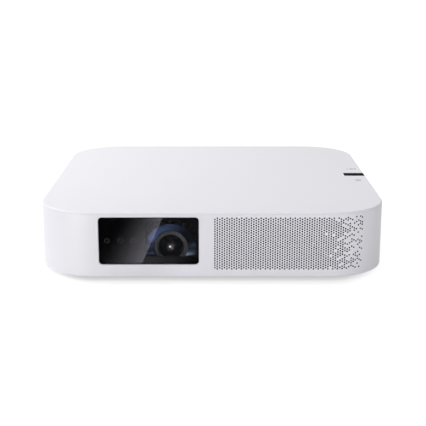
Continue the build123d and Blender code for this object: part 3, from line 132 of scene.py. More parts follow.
class ProjectorGrille(bpy.types.PropertyGroup):
    """Sizes of the perforated field in the front wall."""
    columns: IntProperty(name="Columns", description="Columns of holes", default=63, min=2)
    rows: IntProperty(name="Rows", description="Holes in a full column", default=22, min=2)
    column_pitch: size("Column Pitch", "Step from column to column", 1.369 * MM)
    row_pitch: size("Row Pitch", "Step from hole to hole in a column", 1.42 * MM)
    hole_radius: size("Hole Radius", "Radius of one hole", 0.49 * MM)
    first_column: size("First Column", "Place of the first column across the front", 1.55 * MM)
    middle_height: size("Middle Height", "Height of the middle of the field", 21.785 * MM)
    fade_column: IntProperty(name="Fade Column", description="Column where the holes thin out", default=52)
    seed: IntProperty(name="Seed", description="Which holes drop out", default=11)


class ProjectorShell(bpy.types.PropertyGroup):
    """Sizes and colours of the case."""
    wall: size("Wall", "Thickness of the side wall", 2.2 * MM)
    corner: size("Corner Radius", "Radius of the body's corners in plan", 33.5 * MM)
    foot_round: size("Foot Round", "Round at the foot of the wall", 0.8 * MM)
    seam_groove: size("Seam Groove", "Bevel of the wall under the top cover", 0.25 * MM)
    window_bevel: size("Window Bevel", "Bevel round the window opening", 0.3 * MM)
    window_corner: size("Window Corner", "Corner radius of the window", 2.0 * MM)
    shell_colour: paint("Shell", "Silver white of the case", tone(236, 235, 241))
    base_colour: paint("Base", "Grey of the base cover", tone(88, 88, 92))
    mark_colour: paint("Marks", "Grey of the printed key marks", tone(44, 44, 48))
    black_colour: paint("Gloss Black", "Black of the strip and the window film", tone(16, 16, 18))


class ProjectorStage(bpy.types.PropertyGroup):
    """Camera and lights of the studio."""
    camera_distance: size("Camera Distance", "From the middle of the body to the camera", 0.6319)
    camera_height: size("Camera Height", "Height of the camera over the table", 0.1778)
    camera_tilt: FloatProperty(name="Camera Tilt", description="How far the camera looks down",
                               default=math.radians(14.564), subtype="ANGLE")
    focal_length: FloatProperty(name="Focal Length", description="Lens of the camera in millimetres",
                                default=82.71)
    key_power: FloatProperty(name="Key Power", description="Soft light from the upper left", default=1.25,
                             unit="POWER")
    fill_power: FloatProperty(name="Fill Power", description="Soft light from the front", default=2.15,
                              unit="POWER")
    sky: FloatProperty(name="Sky", description="Even light from all round", default=0.75)
    slant: FloatProperty(name="Slant", description="How much darker the right of the room is", default=1.0)


# Nodes

def add(tree, kind, inputs=(), **settings):
    """Add a node, set its options, and set or join its inputs."""
    made = tree.nodes.new(kind)
    for key, value in settings.items():
        setattr(made, key, value)
    for key, value in dict(inputs).items():
        feed(tree, value, made.inputs[key])
    return made


def feed(tree, value, socket):
    """Join a socket to another, or set its value."""
    if isinstance(value, bpy.types.NodeSocket):
        tree.links.new(value, socket)
    else:
        socket.default_value = value


def calc(tree, operation, *values):
    """Result of a math node."""
    return add(tree, "ShaderNodeMath", dict(enumerate(values)), operation=operation).outputs[0]


def vector(tree, operation, *values):
    """Result of a vector math node."""
    made = add(tree, "ShaderNodeVectorMath", dict(enumerate(values)), operation=operation)
    return made.outputs["Value" if operation == "LENGTH" else "Vector"]


def mapped(tree, value, start, end, low=0.0, high=1.0, **settings):
    """A value carried from one range over to another."""
    return add(tree, "ShaderNodeMapRange", {"Value": value, "From Min": start, "From Max": end,
                                            "To Min": low, "To Max": high}, **settings).outputs["Result"]


def place_of(tree, stretch=None, middle=None):
    """Object coordinates, stretched or centred where asked."""
    place = add(tree, "ShaderNodeTexCoord").outputs["Object"]
    if stretch is None and middle is None:
        return place
    settings = {"Vector": place, "Scale": stretch or (1, 1, 1)}
    if middle is not None:
        settings["Location"] = tuple(-m for m in middle)
    return add(tree, "ShaderNodeMapping", settings).outputs[0]


def noise(tree, place, scale, detail=2.0):
    """Noise between 0 and 1 at a scale per metre."""
    made = add(tree, "ShaderNodeTexNoise", {"Vector": place, "Scale": scale, "Detail": detail})
    return made.outputs["Fac"]


def tones(tree, factor, low, high, start=0.3, end=0.7):
    """Colours between two tones, by a factor."""
    ramp = add(tree, "ShaderNodeValToRGB", {"Fac": factor})
    for stop, place, colour in zip(ramp.color_ramp.elements, (start, end), (low, high)):
        stop.position = place
        stop.color = (*colour[:3], 1.0)
    return ramp.outputs["Color"]


def span(tree, factor, low, high):
    """A value between two ends, by a factor that mostly lies near one half."""
    return mapped(tree, factor, 0.25, 0.75, low, high)


def relief(tree, height, depth):
    """Normal of a surface with a fine relief, its depth in metres."""
    return add(tree, "ShaderNodeBump", {"Height": height, "Distance": depth, "Strength": 1.0}).outputs[0]


def axis_distance(tree, x, z):
    """Distance from an axis that runs along Y."""
    flat = vector(tree, "MULTIPLY", place_of(tree, middle=(x, 0, z)), (1, 0, 1))
    return vector(tree, "LENGTH", flat)


def surface(name, **constants):
    """A new material with its tree and shader, and the constants on the shader's own sockets."""
    material = bpy.data.materials.new(name)
    material.use_nodes = True
    shader = material.node_tree.nodes["Principled BSDF"]
    for key, value in constants.items():
        shader.inputs[key.replace("_", " ")].default_value = value
    return material, material.node_tree, shader.inputs


# Finishes

def moulded(name, colour, roughness=0.45, grain=0.35, depth=0.006, drift=0.02, **constants):
    """Moulded or painted plastic: fine grain, slow drift of tone, uneven gloss; sizes in millimetres."""
    material, tree, shader = surface(name, **constants)
    place = place_of(tree)
    fine = noise(tree, place, 1000 / grain, 3)
    slow = noise(tree, place, 18, 2)
    feed(tree, tones(tree, slow, shade(colour, 1 - drift), shade(colour, 1 + drift)), shader["Base Color"])
    feed(tree, span(tree, fine, roughness - 0.05, roughness + 0.05), shader["Roughness"])
    feed(tree, relief(tree, fine, depth * MM), shader["Normal"])
    return material


def metal(name, colour, roughness=0.3, stretch=(1, 1, 1), grain=0.3, depth=0.004, **constants):
    """Metal with drawn or tumbled marks that follow the stretch."""
    material, tree, shader = surface(name, Metallic=1.0, **constants)
    marks = noise(tree, place_of(tree, stretch=stretch), 1000 / grain, 4)
    slow = noise(tree, place_of(tree), 60, 3)
    feed(tree, tones(tree, slow, shade(colour, 0.86), shade(colour, 1.08)), shader["Base Color"])
    feed(tree, span(tree, marks, roughness - 0.1, roughness + 0.12), shader["Roughness"])
    feed(tree, relief(tree, marks, depth * MM), shader["Normal"])
    return material


def clear(name, tint, smear=0.02, **constants):
    """Clear glass with the faintest smear of handling."""
    material, tree, shader = surface(name, Transmission_Weight=1.0, **constants)
    slow = noise(tree, place_of(tree), 90, 4)
    feed(tree, tones(tree, slow, shade(tint, 0.985), tint), shader["Base Color"])
    feed(tree, span(tree, slow, 0.0, smear), shader["Roughness"])
    return material


def woven(name, colour, pitch=0.5):
    """Acoustic cloth: threads that cross at a pitch in millimetres."""
    material, tree, shader = surface(name, Specular_IOR_Level=0.2, Sheen_Weight=0.2)
    place, bands = place_of(tree), 3.2
    waves = [add(tree, "ShaderNodeTexWave", {"Vector": place, "Scale": 1000 / pitch / bands, "Distortion": 0.4},
                 bands_direction=way).outputs["Fac"] for way in ("X", "Z")]
    weave = calc(tree, "MAXIMUM", *waves)
    feed(tree, tones(tree, weave, shade(colour, 0.4), shade(colour, 1.5), 0.2, 0.95), shader["Base Color"])
    feed(tree, span(tree, weave, 0.95, 0.75), shader["Roughness"])
    feed(tree, relief(tree, weave, 0.08 * MM), shader["Normal"])
    return material


def circuit(name, colour):
    """Circuit board: solder mask with faint tracks under it and bright pads."""
    material, tree, shader = surface(name, Specular_IOR_Level=0.5, Coat_Weight=0.3, Coat_Roughness=0.2)
    tracks = add(tree, "ShaderNodeTexBrick", {"Vector": place_of(tree), "Scale": 260.0, "Mortar Size": 0.06,
                                              "Brick Width": 1.7, "Row Height": 0.31, "Bias": 0.1})
    blot = noise(tree, place_of(tree), 240, 3)
    lines = calc(tree, "MULTIPLY", tracks.outputs["Fac"], blot)
    feed(tree, tones(tree, lines, shade(colour, 0.8), shade(colour, 1.7), 0.1, 0.6), shader["Base Color"])
    feed(tree, span(tree, blot, 0.3, 0.45), shader["Roughness"])
    feed(tree, relief(tree, lines, 0.02 * MM), shader["Normal"])
    return material


def turned(name, colour, roughness, pitch, depth, uneven=0.06, **constants):
    """Blackened turned part of the lens: fine rings about the lens axis."""
    material, tree, shader = surface(name, **constants)
    reach = axis_distance(tree, *LENS_AXIS)
    rings = calc(tree, "SINE", calc(tree, "MULTIPLY", reach, 2 * math.pi / (pitch * MM)))
    dust = noise(tree, place_of(tree), 900, 3)
    feed(tree, tones(tree, dust, shade(colour, 0.85), shade(colour, 1.15)), shader["Base Color"])
    feed(tree, span(tree, dust, roughness - uneven, roughness + uneven), shader["Roughness"])
    feed(tree, relief(tree, rings, depth * MM), shader["Normal"])
    return material


def funnel(name, colour):
    """Gloss black hood whose coated funnel round the lens mirrors blue, set in a dull plate."""
    material = turned(name, colour, 0.12, 0.6, 0.0003, 0.01, Specular_IOR_Level=1.0)
    tree = material.node_tree
    blue, dull = (0.4, 0.55, 1.0), (0.12, 0.12, 0.11)
    unit = 20 * MM
    reach = calc(tree, "MULTIPLY", axis_distance(tree, *LENS_AXIS), 1 / unit)
    mirrored = tones(tree, reach, blue, dull, 14.24 * MM / unit, 14.44 * MM / unit)
    feed(tree, mirrored, tree.nodes["Principled BSDF"].inputs["Specular Tint"])
    return material


def coated(name, tint):
    """Clear front element, with a faint purple ring painted round the middle: a painted reflection of the
    purple pupil deep in the lens.
    """
    material = clear(name, tint, 0.004, IOR=1.1)
    tree = material.node_tree
    shader = tree.nodes["Principled BSDF"].inputs
    ring_radius, purple, painted_ring_cover = 1.75 * MM, (0.62, 0.42, 0.6), 0.07
    back_of_front = LENS_LOW.y + 2 * MM
    depth = add(tree, "ShaderNodeSeparateXYZ", {0: place_of(tree)}).outputs["Y"]
    off = calc(tree, "ABSOLUTE", calc(tree, "SUBTRACT", axis_distance(tree, *LENS_AXIS), ring_radius))
    soft = mapped(tree, off, 0.1 * MM, 1.0 * MM, 1.0, 0.0, interpolation_type="SMOOTHSTEP")
    # Painted reflection: a purple ring on the front of the element, which lets a little less light through
    ring = calc(tree, "MULTIPLY", calc(tree, "LESS_THAN", depth, back_of_front), soft)
    feed(tree, tones(tree, ring, tint, purple, 0.0, 1.0), shader["Base Color"])
    feed(tree, calc(tree, "MULTIPLY_ADD", ring, -painted_ring_cover, 1.0), shader["Transmission Weight"])
    return material


def film(name, colour):
    """Glossy black film behind the front glass, with faint rings round the sensor holes."""
    material, tree, shader = surface(name, Specular_IOR_Level=0.5)
    ring_radius, ring_half = 1.35 * MM, 0.3 * MM
    mark = 0.0
    for x in SENSOR_XS:
        ring = calc(tree, "COMPARE", axis_distance(tree, x, SENSOR_Z), ring_radius, ring_half)
        mark = calc(tree, "MAXIMUM", mark, ring)
    dust = noise(tree, place_of(tree), 1500, 2)
    level = calc(tree, "MULTIPLY_ADD", mark, 0.8, calc(tree, "MULTIPLY", dust, 0.2))
    feed(tree, tones(tree, level, colour, tone(44, 44, 47), 0.1, 1.0), shader["Base Color"])
    feed(tree, span(tree, dust, 0.02, 0.04), shader["Roughness"])
    return material


# Plastics: roughness, grain, depth of the grain, drift of tone. Metals: roughness, stretch of the marks,
# grain, depth. Turned parts: roughness, pitch and depth of the rings. Lengths in millimetres.
FINISHES = {
    "shell_silver": lambda shell: moulded("Silver white paint", shell.shell_colour, 0.42, 0.3, 0.004, 0.006),
    "base_grey": lambda shell: moulded("Base plastic", shell.base_colour, 0.55, 0.4, 0.02, 0.03),
    "gloss_black": lambda shell: moulded("Strip black", shade(shell.black_colour, 1.4), 0.42, 0.5, 0.004, 0.1,
                                         Specular_IOR_Level=0.002),
    "rubber_black": lambda _: moulded("Rubber", tone(34, 34, 35), 0.75, 0.25, 0.012, 0.08),
    "steel": lambda _: metal("Bright steel", tone(196, 196, 198), 0.28, (1, 8, 1)),
    "brass": lambda _: metal("Brass", tone(212, 176, 104), 0.3, (1, 1, 12)),
    "satin_black": lambda _: moulded("Satin black", tone(30, 30, 32), 0.5, 0.3, 0.008, 0.05),
    "cloth_black": lambda _: woven("Acoustic cloth", tone(14, 14, 15)),
    "black_metal": lambda _: turned("Blackened metal", tone(38, 38, 41), 0.42, 0.35, 0.01, Metallic=0.6),
    "gear_plastic": lambda _: moulded("Gear plastic", tone(226, 222, 210), 0.4, 0.5, 0.006, 0.03),
    "cast_metal": lambda _: metal("Cast magnesium", tone(150, 151, 154), 0.5, (1, 1, 1), 0.6, 0.02),
    "aluminium": lambda _: metal("Aluminium", tone(205, 206, 208), 0.32, (1, 14, 1)),
    "copper": lambda _: metal("Copper", tone(206, 132, 96), 0.26, (1, 10, 1)),
    "board_green": lambda _: circuit("Circuit board", tone(22, 74, 46)),
    "flex_amber": lambda _: moulded("Flex film", tone(176, 112, 40), 0.3, 1.2, 0.004, 0.08,
                                    Coat_Weight=0.3),
    "magnet_black": lambda _: metal("Plated magnet", tone(70, 70, 74), 0.35, (1, 1, 1), 0.5, 0.01),
    "cone_black": lambda _: moulded("Pressed cone", tone(28, 28, 30), 0.7, 0.5, 0.03, 0.12),
    "lens_glass": lambda _: coated("Lens glass", tone(232, 238, 250)),
    "coated_glass": lambda _: clear("Coated glass", tone(150, 90, 140), 0.004, IOR=1.8,
                                    Specular_Tint=(1.0, 0.45, 0.8, 1.0)),
    "glass_clear": lambda _: clear("Window glass", tone(246, 248, 250), 0.006, IOR=1.5),
}


MADE = {}


def finish_for(slot, shell):
    """The finish of a material slot, made once."""
    if slot not in MADE:
        MADE[slot] = FINISHES[slot](shell)
    return MADE[slot]


# Meshes

def linked(name, mesh, material=None):
    """A new object at the origin with this mesh."""
    piece = bpy.data.objects.new(name, mesh)
    if material is not None:
        mesh.materials.clear()
        mesh.materials.append(material)
    bpy.context.scene.collection.objects.link(piece)
    return piece


def mesh_of(name, points, faces):
    """Closed mesh from points and faces, with its doubles merged and its faces outward."""
    mesh = bpy.data.meshes.new(name)
    mesh.from_pydata(points, [], faces)
    work = bmesh.new()
    work.from_mesh(mesh)
    bmesh.ops.remove_doubles(work, verts=work.verts, dist=1e-7)
    bmesh.ops.recalc_face_normals(work, faces=work.faces)
    work.to_mesh(mesh)
    work.free()
    return mesh


def lofted(name, loops):
    """Closed mesh through loops of equal count, with both ends filled."""
    count = len(loops[0])
    points = [p for loop in loops for p in loop]
    faces = [tuple(range(count)), tuple(range(len(points) - count, len(points)))]
    for level in range(len(loops) - 1):
        base = level * count
        for i in range(count):
            after = (i + 1) % count
            faces.append((base + i, base + after, base + count + after, base + count + i))
    return mesh_of(name, points, faces)


def rounded(width, height, corner, steps=12):
    """Points of a rounded rectangle about its middle."""
    points = []
    for quarter, (sx, sy) in enumerate(((1, 1), (-1, 1), (-1, -1), (1, -1))):
        for step in range(steps + 1):
            turn = math.pi / 2 * (quarter + step / steps)
            points.append((sx * (width / 2 - corner) + corner * math.cos(turn),
                           sy * (height / 2 - corner) + corner * math.sin(turn)))
    return points


def plate(name, centre, width, height, corner, stations):
    """Upright rounded plate through (depth, growth) stations, facing the front."""
    loops = []
    for y, grow in stations:
        ring = rounded(width + 2 * grow, height + 2 * grow, max(corner + grow, 1e-5))
        loops.append([(centre[0] + u, y, centre[1] + v) for u, v in ring])
    return lofted(name, loops)


def smooth(mesh, angle):
    """Smooth shading up to an angle."""
    mesh.polygons.foreach_set("use_smooth", [True] * len(mesh.polygons))
    mesh.set_sharp_from_angle(angle=math.radians(angle))


def solid(piece):
    """Turn a piece and its modifiers into one plain mesh."""
    bpy.context.view_layer.update()
    made = bpy.data.meshes.new_from_object(piece.evaluated_get(bpy.context.evaluated_depsgraph_get()))
    old = piece.data
    piece.modifiers.clear()
    piece.data = made
    made.name = piece.name
    bpy.data.meshes.remove(old)


def cut(piece, tool, operation):
    """Join or subtract another mesh by a modifier; its helper is removed once the piece is plain."""
    helper = linked(tool.name, tool)
    change = piece.modifiers.new(operation.title(), "BOOLEAN")
    change.operation = operation
    change.solver = "MANIFOLD"
    change.object = helper
    return helper


def handed_in(piece, body, slot, *nodes):
    """Give a finished piece its body and hide the nodes that it stands for; the slot argument is not used."""
    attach(piece, body)
    if nodes:
        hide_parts(*nodes)


def dress(context, *names):
    """Give engineering nodes the finish of their slot."""
    slots = {part["node"]: part["material_slot"] for part in frame["record"]["subparts"]}
    for name in names:
        materials = NODES[name].data.materials
        materials.clear()
        materials.append(finish_for(slots[name], context.scene.projector_shell))


# Geometry trees

def tree_with(name, inputs):
    """Geometry tree with named inputs: the tree, its inputs and its output."""
    tree = bpy.data.node_groups.new(name, "GeometryNodeTree")
    tree.interface.new_socket("Geometry", in_out="INPUT", socket_type="NodeSocketGeometry")
    for label, kind in inputs:
        tree.interface.new_socket(label, in_out="INPUT", socket_type="NodeSocket" + kind)
    tree.interface.new_socket("Geometry", in_out="OUTPUT", socket_type="NodeSocketGeometry")
    return tree, tree.nodes.new("NodeGroupInput").outputs, tree.nodes.new("NodeGroupOutput").inputs[0]


def grow(piece, tree, values):
    """Put a geometry tree on a piece with its inputs set, and make the result plain, with no empty slot."""
    modifier = piece.modifiers.new(tree.name, "NODES")
    modifier.node_group = tree
    for item in tree.interface.items_tree:
        if item.in_out == "INPUT" and item.name in values:
            modifier[item.identifier] = values[item.name]
    solid(piece)
    materials = piece.data.materials
    for index in reversed(range(len(materials))):
        if materials[index] is None:
            materials.pop(index=index)


def ended(tree, geometry, material, output, where=True):
    """Last nodes of a tree: real geometry with its material."""
    real = add(tree, "GeometryNodeRealizeInstances", {"Geometry": geometry}).outputs[0]
    coat = add(tree, "GeometryNodeSetMaterial", {"Geometry": real, "Selection": where, "Material": material})
    feed(tree, coat.outputs[0], output)


def perforation_tree():
    """Drills staggered holes through the wall, bent round its corner, that drop out at random at the end; the
    walls of the holes get a near-black finish, a painted shade.
    """
    drill_sides, drill_length = 12, 6 * MM
    column_spread, row_spread, jolt_reach = 0.1413, 0.618034, 0.25
    fade_lead, first_share, last_share = 8.0, 0.1, 0.64
    tree, given, output = tree_with("Grille perforations", (
        ("Columns", "Int"), ("Rows", "Int"), ("Column Pitch", "Float"), ("Row Pitch", "Float"),
        ("Hole Radius", "Float"), ("First Column", "Float"), ("Middle Height", "Float"), ("Fade Column", "Int"),
        ("Front", "Float"), ("Corner Start", "Float"), ("Corner Radius", "Float"), ("Seed", "Int"),
        ("Finish", "Material"), ("Shaded Bore", "Material")))
    grid = add(tree, "GeometryNodeMeshGrid", {"Vertices X": given["Columns"], "Vertices Y": given["Rows"]})
    index = add(tree, "GeometryNodeInputIndex").outputs[0]
    column = calc(tree, "FLOOR", calc(tree, "DIVIDE", calc(tree, "ADD", index, 0.25), given["Rows"]))
    row = calc(tree, "SUBTRACT", index, calc(tree, "MULTIPLY", column, given["Rows"]))
    odd = calc(tree, "MODULO", calc(tree, "ADD", column, 1.0), 2.0)
    last = calc(tree, "SUBTRACT", given["Rows"], 1.0)
    along = calc(tree, "MULTIPLY_ADD", column, given["Column Pitch"], given["First Column"])
    step = calc(tree, "MULTIPLY_ADD", last, -0.5, calc(tree, "MULTIPLY_ADD", odd, 0.5, row))
    height = calc(tree, "MULTIPLY_ADD", step, given["Row Pitch"], given["Middle Height"])
    past = calc(tree, "MAXIMUM", calc(tree, "SUBTRACT", along, given["Corner Start"]), 0.0)
    turn = calc(tree, "DIVIDE", past, given["Corner Radius"])
    across = calc(tree, "MULTIPLY_ADD", calc(tree, "SINE", turn), given["Corner Radius"],
                  calc(tree, "MINIMUM", along, given["Corner Start"]))
    back = calc(tree, "SUBTRACT", 1.0, calc(tree, "COSINE", turn))
    depth = calc(tree, "MULTIPLY_ADD", back, given["Corner Radius"], given["Front"])
    spot = add(tree, "ShaderNodeCombineXYZ", {"X": across, "Y": depth, "Z": height}).outputs[0]
    placed = add(tree, "GeometryNodeSetPosition", {"Geometry": grid.outputs[0], "Position": spot}).outputs[0]
    kept = add(tree, "GeometryNodeStoreNamedAttribute", {"Geometry": placed, "Name": "turn", "Value": turn},
               data_type="FLOAT", domain="POINT").outputs[0]
    jolt = add(tree, "FunctionNodeRandomValue", {"Max": jolt_reach, "Seed": given["Seed"]}, data_type="FLOAT")
    even = calc(tree, "MULTIPLY_ADD", calc(tree, "MULTIPLY", column, column), column_spread,
                calc(tree, "MULTIPLY", calc(tree, "MULTIPLY_ADD", odd, 0.5, row), row_spread))
    luck = calc(tree, "FRACT", calc(tree, "ADD", even, jolt.outputs["Value"]))
    fade = given["Fade Column"]
    few = mapped(tree, column, calc(tree, "SUBTRACT", fade, fade_lead), fade, 0.0, first_share)
    many = mapped(tree, column, fade, calc(tree, "SUBTRACT", given["Columns"], 1.0), first_share, last_share)
    many = calc(tree, "MULTIPLY", many, calc(tree, "GREATER_THAN", column, fade))
    dropped = calc(tree, "LESS_THAN", luck, calc(tree, "ADD", few, many))
    spare = calc(tree, "GREATER_THAN", calc(tree, "MULTIPLY", odd, row), calc(tree, "SUBTRACT", last, 0.5))
    gone = calc(tree, "MAXIMUM", dropped, spare)
    left = add(tree, "GeometryNodeDeleteGeometry", {"Geometry": kept, "Selection": gone},
               domain="POINT").outputs[0]
    drill = add(tree, "GeometryNodeMeshCylinder", {"Vertices": drill_sides, "Radius": given["Hole Radius"],
                                                   "Depth": drill_length}).outputs[0]
    swing = add(tree, "GeometryNodeInputNamedAttribute", {"Name": "turn"}, data_type="FLOAT").outputs[0]
    aim = add(tree, "ShaderNodeCombineXYZ", {"X": math.pi / 2, "Z": swing}).outputs[0]
    aim = add(tree, "FunctionNodeEulerToRotation", {0: aim}).outputs[0]
    drills = add(tree, "GeometryNodeInstanceOnPoints", {"Points": left, "Instance": drill, "Rotation": aim})
    drills = add(tree, "GeometryNodeRealizeInstances", {"Geometry": drills.outputs[0]}).outputs[0]
    # Painted shade: the walls of the holes are near black, so the holes look dark inside
    drills = add(tree, "GeometryNodeSetMaterial", {"Geometry": drills, "Material": given["Shaded Bore"]}).outputs[0]
    holed = add(tree, "GeometryNodeMeshBoolean", {"Mesh 1": given["Geometry"], "Mesh 2": drills},
                operation="DIFFERENCE", solver="MANIFOLD").outputs[0]
    shaded_bores = add(tree, "GeometryNodeMaterialSelection", {"Material": given["Shaded Bore"]}).outputs[0]
    ended(tree, holed, given["Finish"], output, calc(tree, "SUBTRACT", 1.0, shaded_bores))
    return tree


def filter_tree():
    """A round filter that faces the front at each point of the mesh."""
    tree, given, output = tree_with("Sensor filters", (
        ("Radius", "Float"), ("Thickness", "Float"), ("Finish", "Material")))
    disc = add(tree, "GeometryNodeMeshCylinder", {"Vertices": 24, "Radius": given["Radius"],
                                                  "Depth": given["Thickness"]}).outputs[0]
    aim = add(tree, "FunctionNodeEulerToRotation", {0: (math.pi / 2, 0, 0)}).outputs[0]
    discs = add(tree, "GeometryNodeInstanceOnPoints",
                {"Points": given["Geometry"], "Instance": disc, "Rotation": aim})
    ended(tree, discs.outputs[0], given["Finish"], output)
    return tree


def contact_tree():
    """A row of sprung contact strips."""
    tree, given, output = tree_with("Socket contacts", (
        ("Count", "Int"), ("Pitch", "Float"), ("Width", "Float"), ("Length", "Float"), ("Thickness", "Float"),
        ("Middle", "Vector"), ("Finish", "Material")))
    first = calc(tree, "MULTIPLY", calc(tree, "SUBTRACT", given["Count"], 1.0),
                 calc(tree, "MULTIPLY", given["Pitch"], -0.5))
    start = vector(tree, "ADD", add(tree, "ShaderNodeCombineXYZ", {"X": first}).outputs[0], given["Middle"])
    pace = add(tree, "ShaderNodeCombineXYZ", {"X": given["Pitch"]}).outputs[0]
    row = add(tree, "GeometryNodeMeshLine", {"Count": given["Count"], "Start Location": start, "Offset": pace},
              mode="OFFSET").outputs[0]
    strip = add(tree, "GeometryNodeMeshCube", {"Size": add(tree, "ShaderNodeCombineXYZ", {
        "X": given["Width"], "Y": given["Length"], "Z": given["Thickness"]}).outputs[0]}).outputs[0]
    strips = add(tree, "GeometryNodeInstanceOnPoints", {"Points": row, "Instance": strip}).outputs[0]
    ended(tree, strips, given["Finish"], output)
    return tree


# Operators

class PROJECTOR_OT_shell(bpy.types.Operator):
    """Paint the top cover, the rear housing and the side keys"""
    bl_idname = "projector.shell"
    bl_label = "Top, Rear and Keys"

    def execute(self, context):
        dress(context, *SHELL_NODES)
        return {"FINISHED"}


class PROJECTOR_OT_fascia(bpy.types.Operator):
    """Build the front wall with its window opening and its fine perforations"""
    bl_idname = "projector.fascia"
    bl_label = "Front Wall and Grille"

    def execute(self, context):
        shell, grille = context.scene.projector_shell, context.scene.projector_grille
        finish = finish_for("shell_silver", shell)
        wall = linked("front_wall", lofted("front_wall", self.wall_loops(shell)), finish)
        helpers = [cut(wall, tool, operation) for tool, operation in self.window_tools(shell)]
        grow(wall, perforation_tree(), {
            "Columns": grille.columns, "Rows": grille.rows, "Column Pitch": grille.column_pitch,
            "Row Pitch": grille.row_pitch, "Hole Radius": grille.hole_radius,
            "First Column": grille.first_column, "Middle Height": grille.middle_height,
            "Fade Column": grille.fade_column, "Front": WALL_LOW.y, "Corner Start": WALL_HIGH.x - shell.corner,
            "Corner Radius": shell.corner, "Seed": grille.seed, "Finish": finish,
            # Painted shade: near black for the walls of the holes
            "Shaded Bore": moulded("Grille bore shade", tone(9, 9, 10), 0.7, 0.3, 0.004, 0.05, Specular_IOR_Level=0.1)})
        for helper in helpers:
            bpy.data.objects.remove(helper)
        fewest_faces = 10000
        if len(wall.data.polygons) < fewest_faces:
            raise RuntimeError("the perforations of the front wall were not cut")
        smooth(wall.data, 28)
        handed_in(wall, "housing", "shell_silver", "front_fascia")
        dress(context, "grille_cloth")
        return {"FINISHED"}

    def wall_loops(self, shell):
        """Section of the wall at each station from the left end, round both corners, to the right end."""
        right, front, end = WALL_HIGH.x, WALL_LOW.y, WALL_HIGH.y
        low, high = WALL_LOW.z, WALL_HIGH.z
        foot_steps, corner_steps = 6, 48
        ledge_low, ledge_high, ledge = 4.0 * MM, 5.6 * MM, 1.6 * MM
        quarter = math.pi / 2
        section = []
        for i in range(foot_steps + 1):
            turn = quarter * i / foot_steps
            section.append((shell.foot_round * (1 - math.sin(turn)),
                            low + shell.foot_round * (1 - math.cos(turn))))
        section += [(0, high - shell.seam_groove), (shell.seam_groove, high), (shell.wall, high),
                    (shell.wall, ledge_high), (shell.wall + ledge, ledge_high),
                    (shell.wall + ledge, ledge_low), (shell.wall, ledge_low), (shell.wall, low)]
        middle = right - shell.corner
        stations = [((-right, end), (1, 0))]
        for side, start in ((-1, math.pi), (1, 1.5 * math.pi)):
            for i in range(corner_steps + 1):
                turn = start + quarter * i / corner_steps
                x, y = math.cos(turn), math.sin(turn)
                stations.append(((side * middle + shell.corner * x, front + shell.corner * (1 + y)), (-x, -y)))
        stations.append(((right, end), (-1, 0)))
        return [[(x + nx * inset, y + ny * inset, z) for inset, z in section] for (x, y), (nx, ny) in stations]

    def window_tools(self, shell):
        """The boss round the window, the pocket for its glass and the opening behind it."""
        front, bevel, corner = WALL_LOW.y, shell.window_bevel, shell.window_corner
        gap, seat = 0.15 * MM, 1.5 * MM
        boss_width, boss_height, boss_corner = GLASS_WIDTH + 4 * MM, GLASS_HEIGHT + 3.2 * MM, 1 * MM
        pocket_floor, opening_start = -98.5 * MM, -99 * MM
        return (
            (plate("boss", GLASS_MIDDLE, boss_width, boss_height, boss_corner,
                   ((front + shell.wall / 2, 0), (HOOD_FRONT, 0))), "UNION"),
            (plate("pocket", GLASS_MIDDLE, GLASS_WIDTH + 2 * gap, GLASS_HEIGHT + 2 * gap, corner + gap,
                   ((front - MM, bevel), (front, bevel), (front + bevel, 0), (pocket_floor, 0))), "DIFFERENCE"),
            (plate("opening", GLASS_MIDDLE, GLASS_WIDTH - 2 * seat, GLASS_HEIGHT - 2 * seat, corner,
                   ((opening_start, 0), (HOOD_FRONT + MM, 0))), "DIFFERENCE"))


class PROJECTOR_OT_window(bpy.types.Operator):
    """Build the front glass and finish the black film and the sensors behind it"""
    bl_idname = "projector.window"
    bl_label = "Front Window"

    def execute(self, context):
        shell = context.scene.projector_shell
        polish, air_gap, flat_limit = 0.25 * MM, 0.02 * MM, 0.9
        mesh = plate("front_pane", GLASS_MIDDLE, GLASS_WIDTH, GLASS_HEIGHT, shell.window_corner,
                     ((GLASS_LOW.y, -polish), (GLASS_LOW.y + polish, 0), (GLASS_HIGH.y - air_gap, 0)))
        smooth(mesh, 30)
        pane = linked("front_pane", mesh, finish_for("glass_clear", shell))
        pane.visible_shadow = False
        mesh.materials.append(moulded("Rim black", shell.black_colour, 0.5, 0.4, 0.004, 0.1,
                                      Specular_IOR_Level=0.1))
        for face in mesh.polygons:
            face.material_index = int(abs(face.normal.y) < flat_limit)
        handed_in(pane, "housing", "glass_clear", "front_glass")
        dress(context, "sensor_board")
        materials = NODES["glass_mask"].data.materials
        materials.clear()
        materials.append(film("Window film", shade(shell.black_colour, 0.4)))
        film_middle = GLASS_HIGH.y + 0.1 * MM
        spots = bpy.data.meshes.new("sensor_filters")
        spots.from_pydata([(x, film_middle, SENSOR_Z) for x in SENSOR_XS], [], [])
        filters = linked("sensor_filters", spots)
        grow(filters, filter_tree(), {
            "Radius": 0.98 * MM, "Thickness": 0.16 * MM,
            "Finish": moulded("Infrared filter", tone(20, 8, 10), 0.2, 0.5, 0.001, 0.2,
                              Specular_IOR_Level=0.2)})
        handed_in(filters, "housing", "gloss_black")
        return {"FINISHED"}


class PROJECTOR_OT_lens(bpy.types.Operator):
    """Finish the lens hood, the barrel and the glass elements"""
    bl_idname = "projector.lens"
    bl_label = "Projection Lens"

    def execute(self, context):
        dress(context, *LENS_NODES)
        for name in ("front_lens", "inner_lenses"):
            NODES[name].visible_shadow = False
        for name, finish in (
                ("lens_hood", funnel("Hood black", tone(10, 10, 12))),
                ("lens_retainer", turned("Retainer grey", tone(40, 40, 46), 0.5, 0.3, 0.006,
                                         Specular_IOR_Level=0.3)),
                ("lens_barrel", turned("Flat black", tone(8, 8, 9), 0.7, 0.5, 0.01,
                                       Specular_IOR_Level=0.2))):
            NODES[name].data.materials[0] = finish
        return {"FINISHED"}


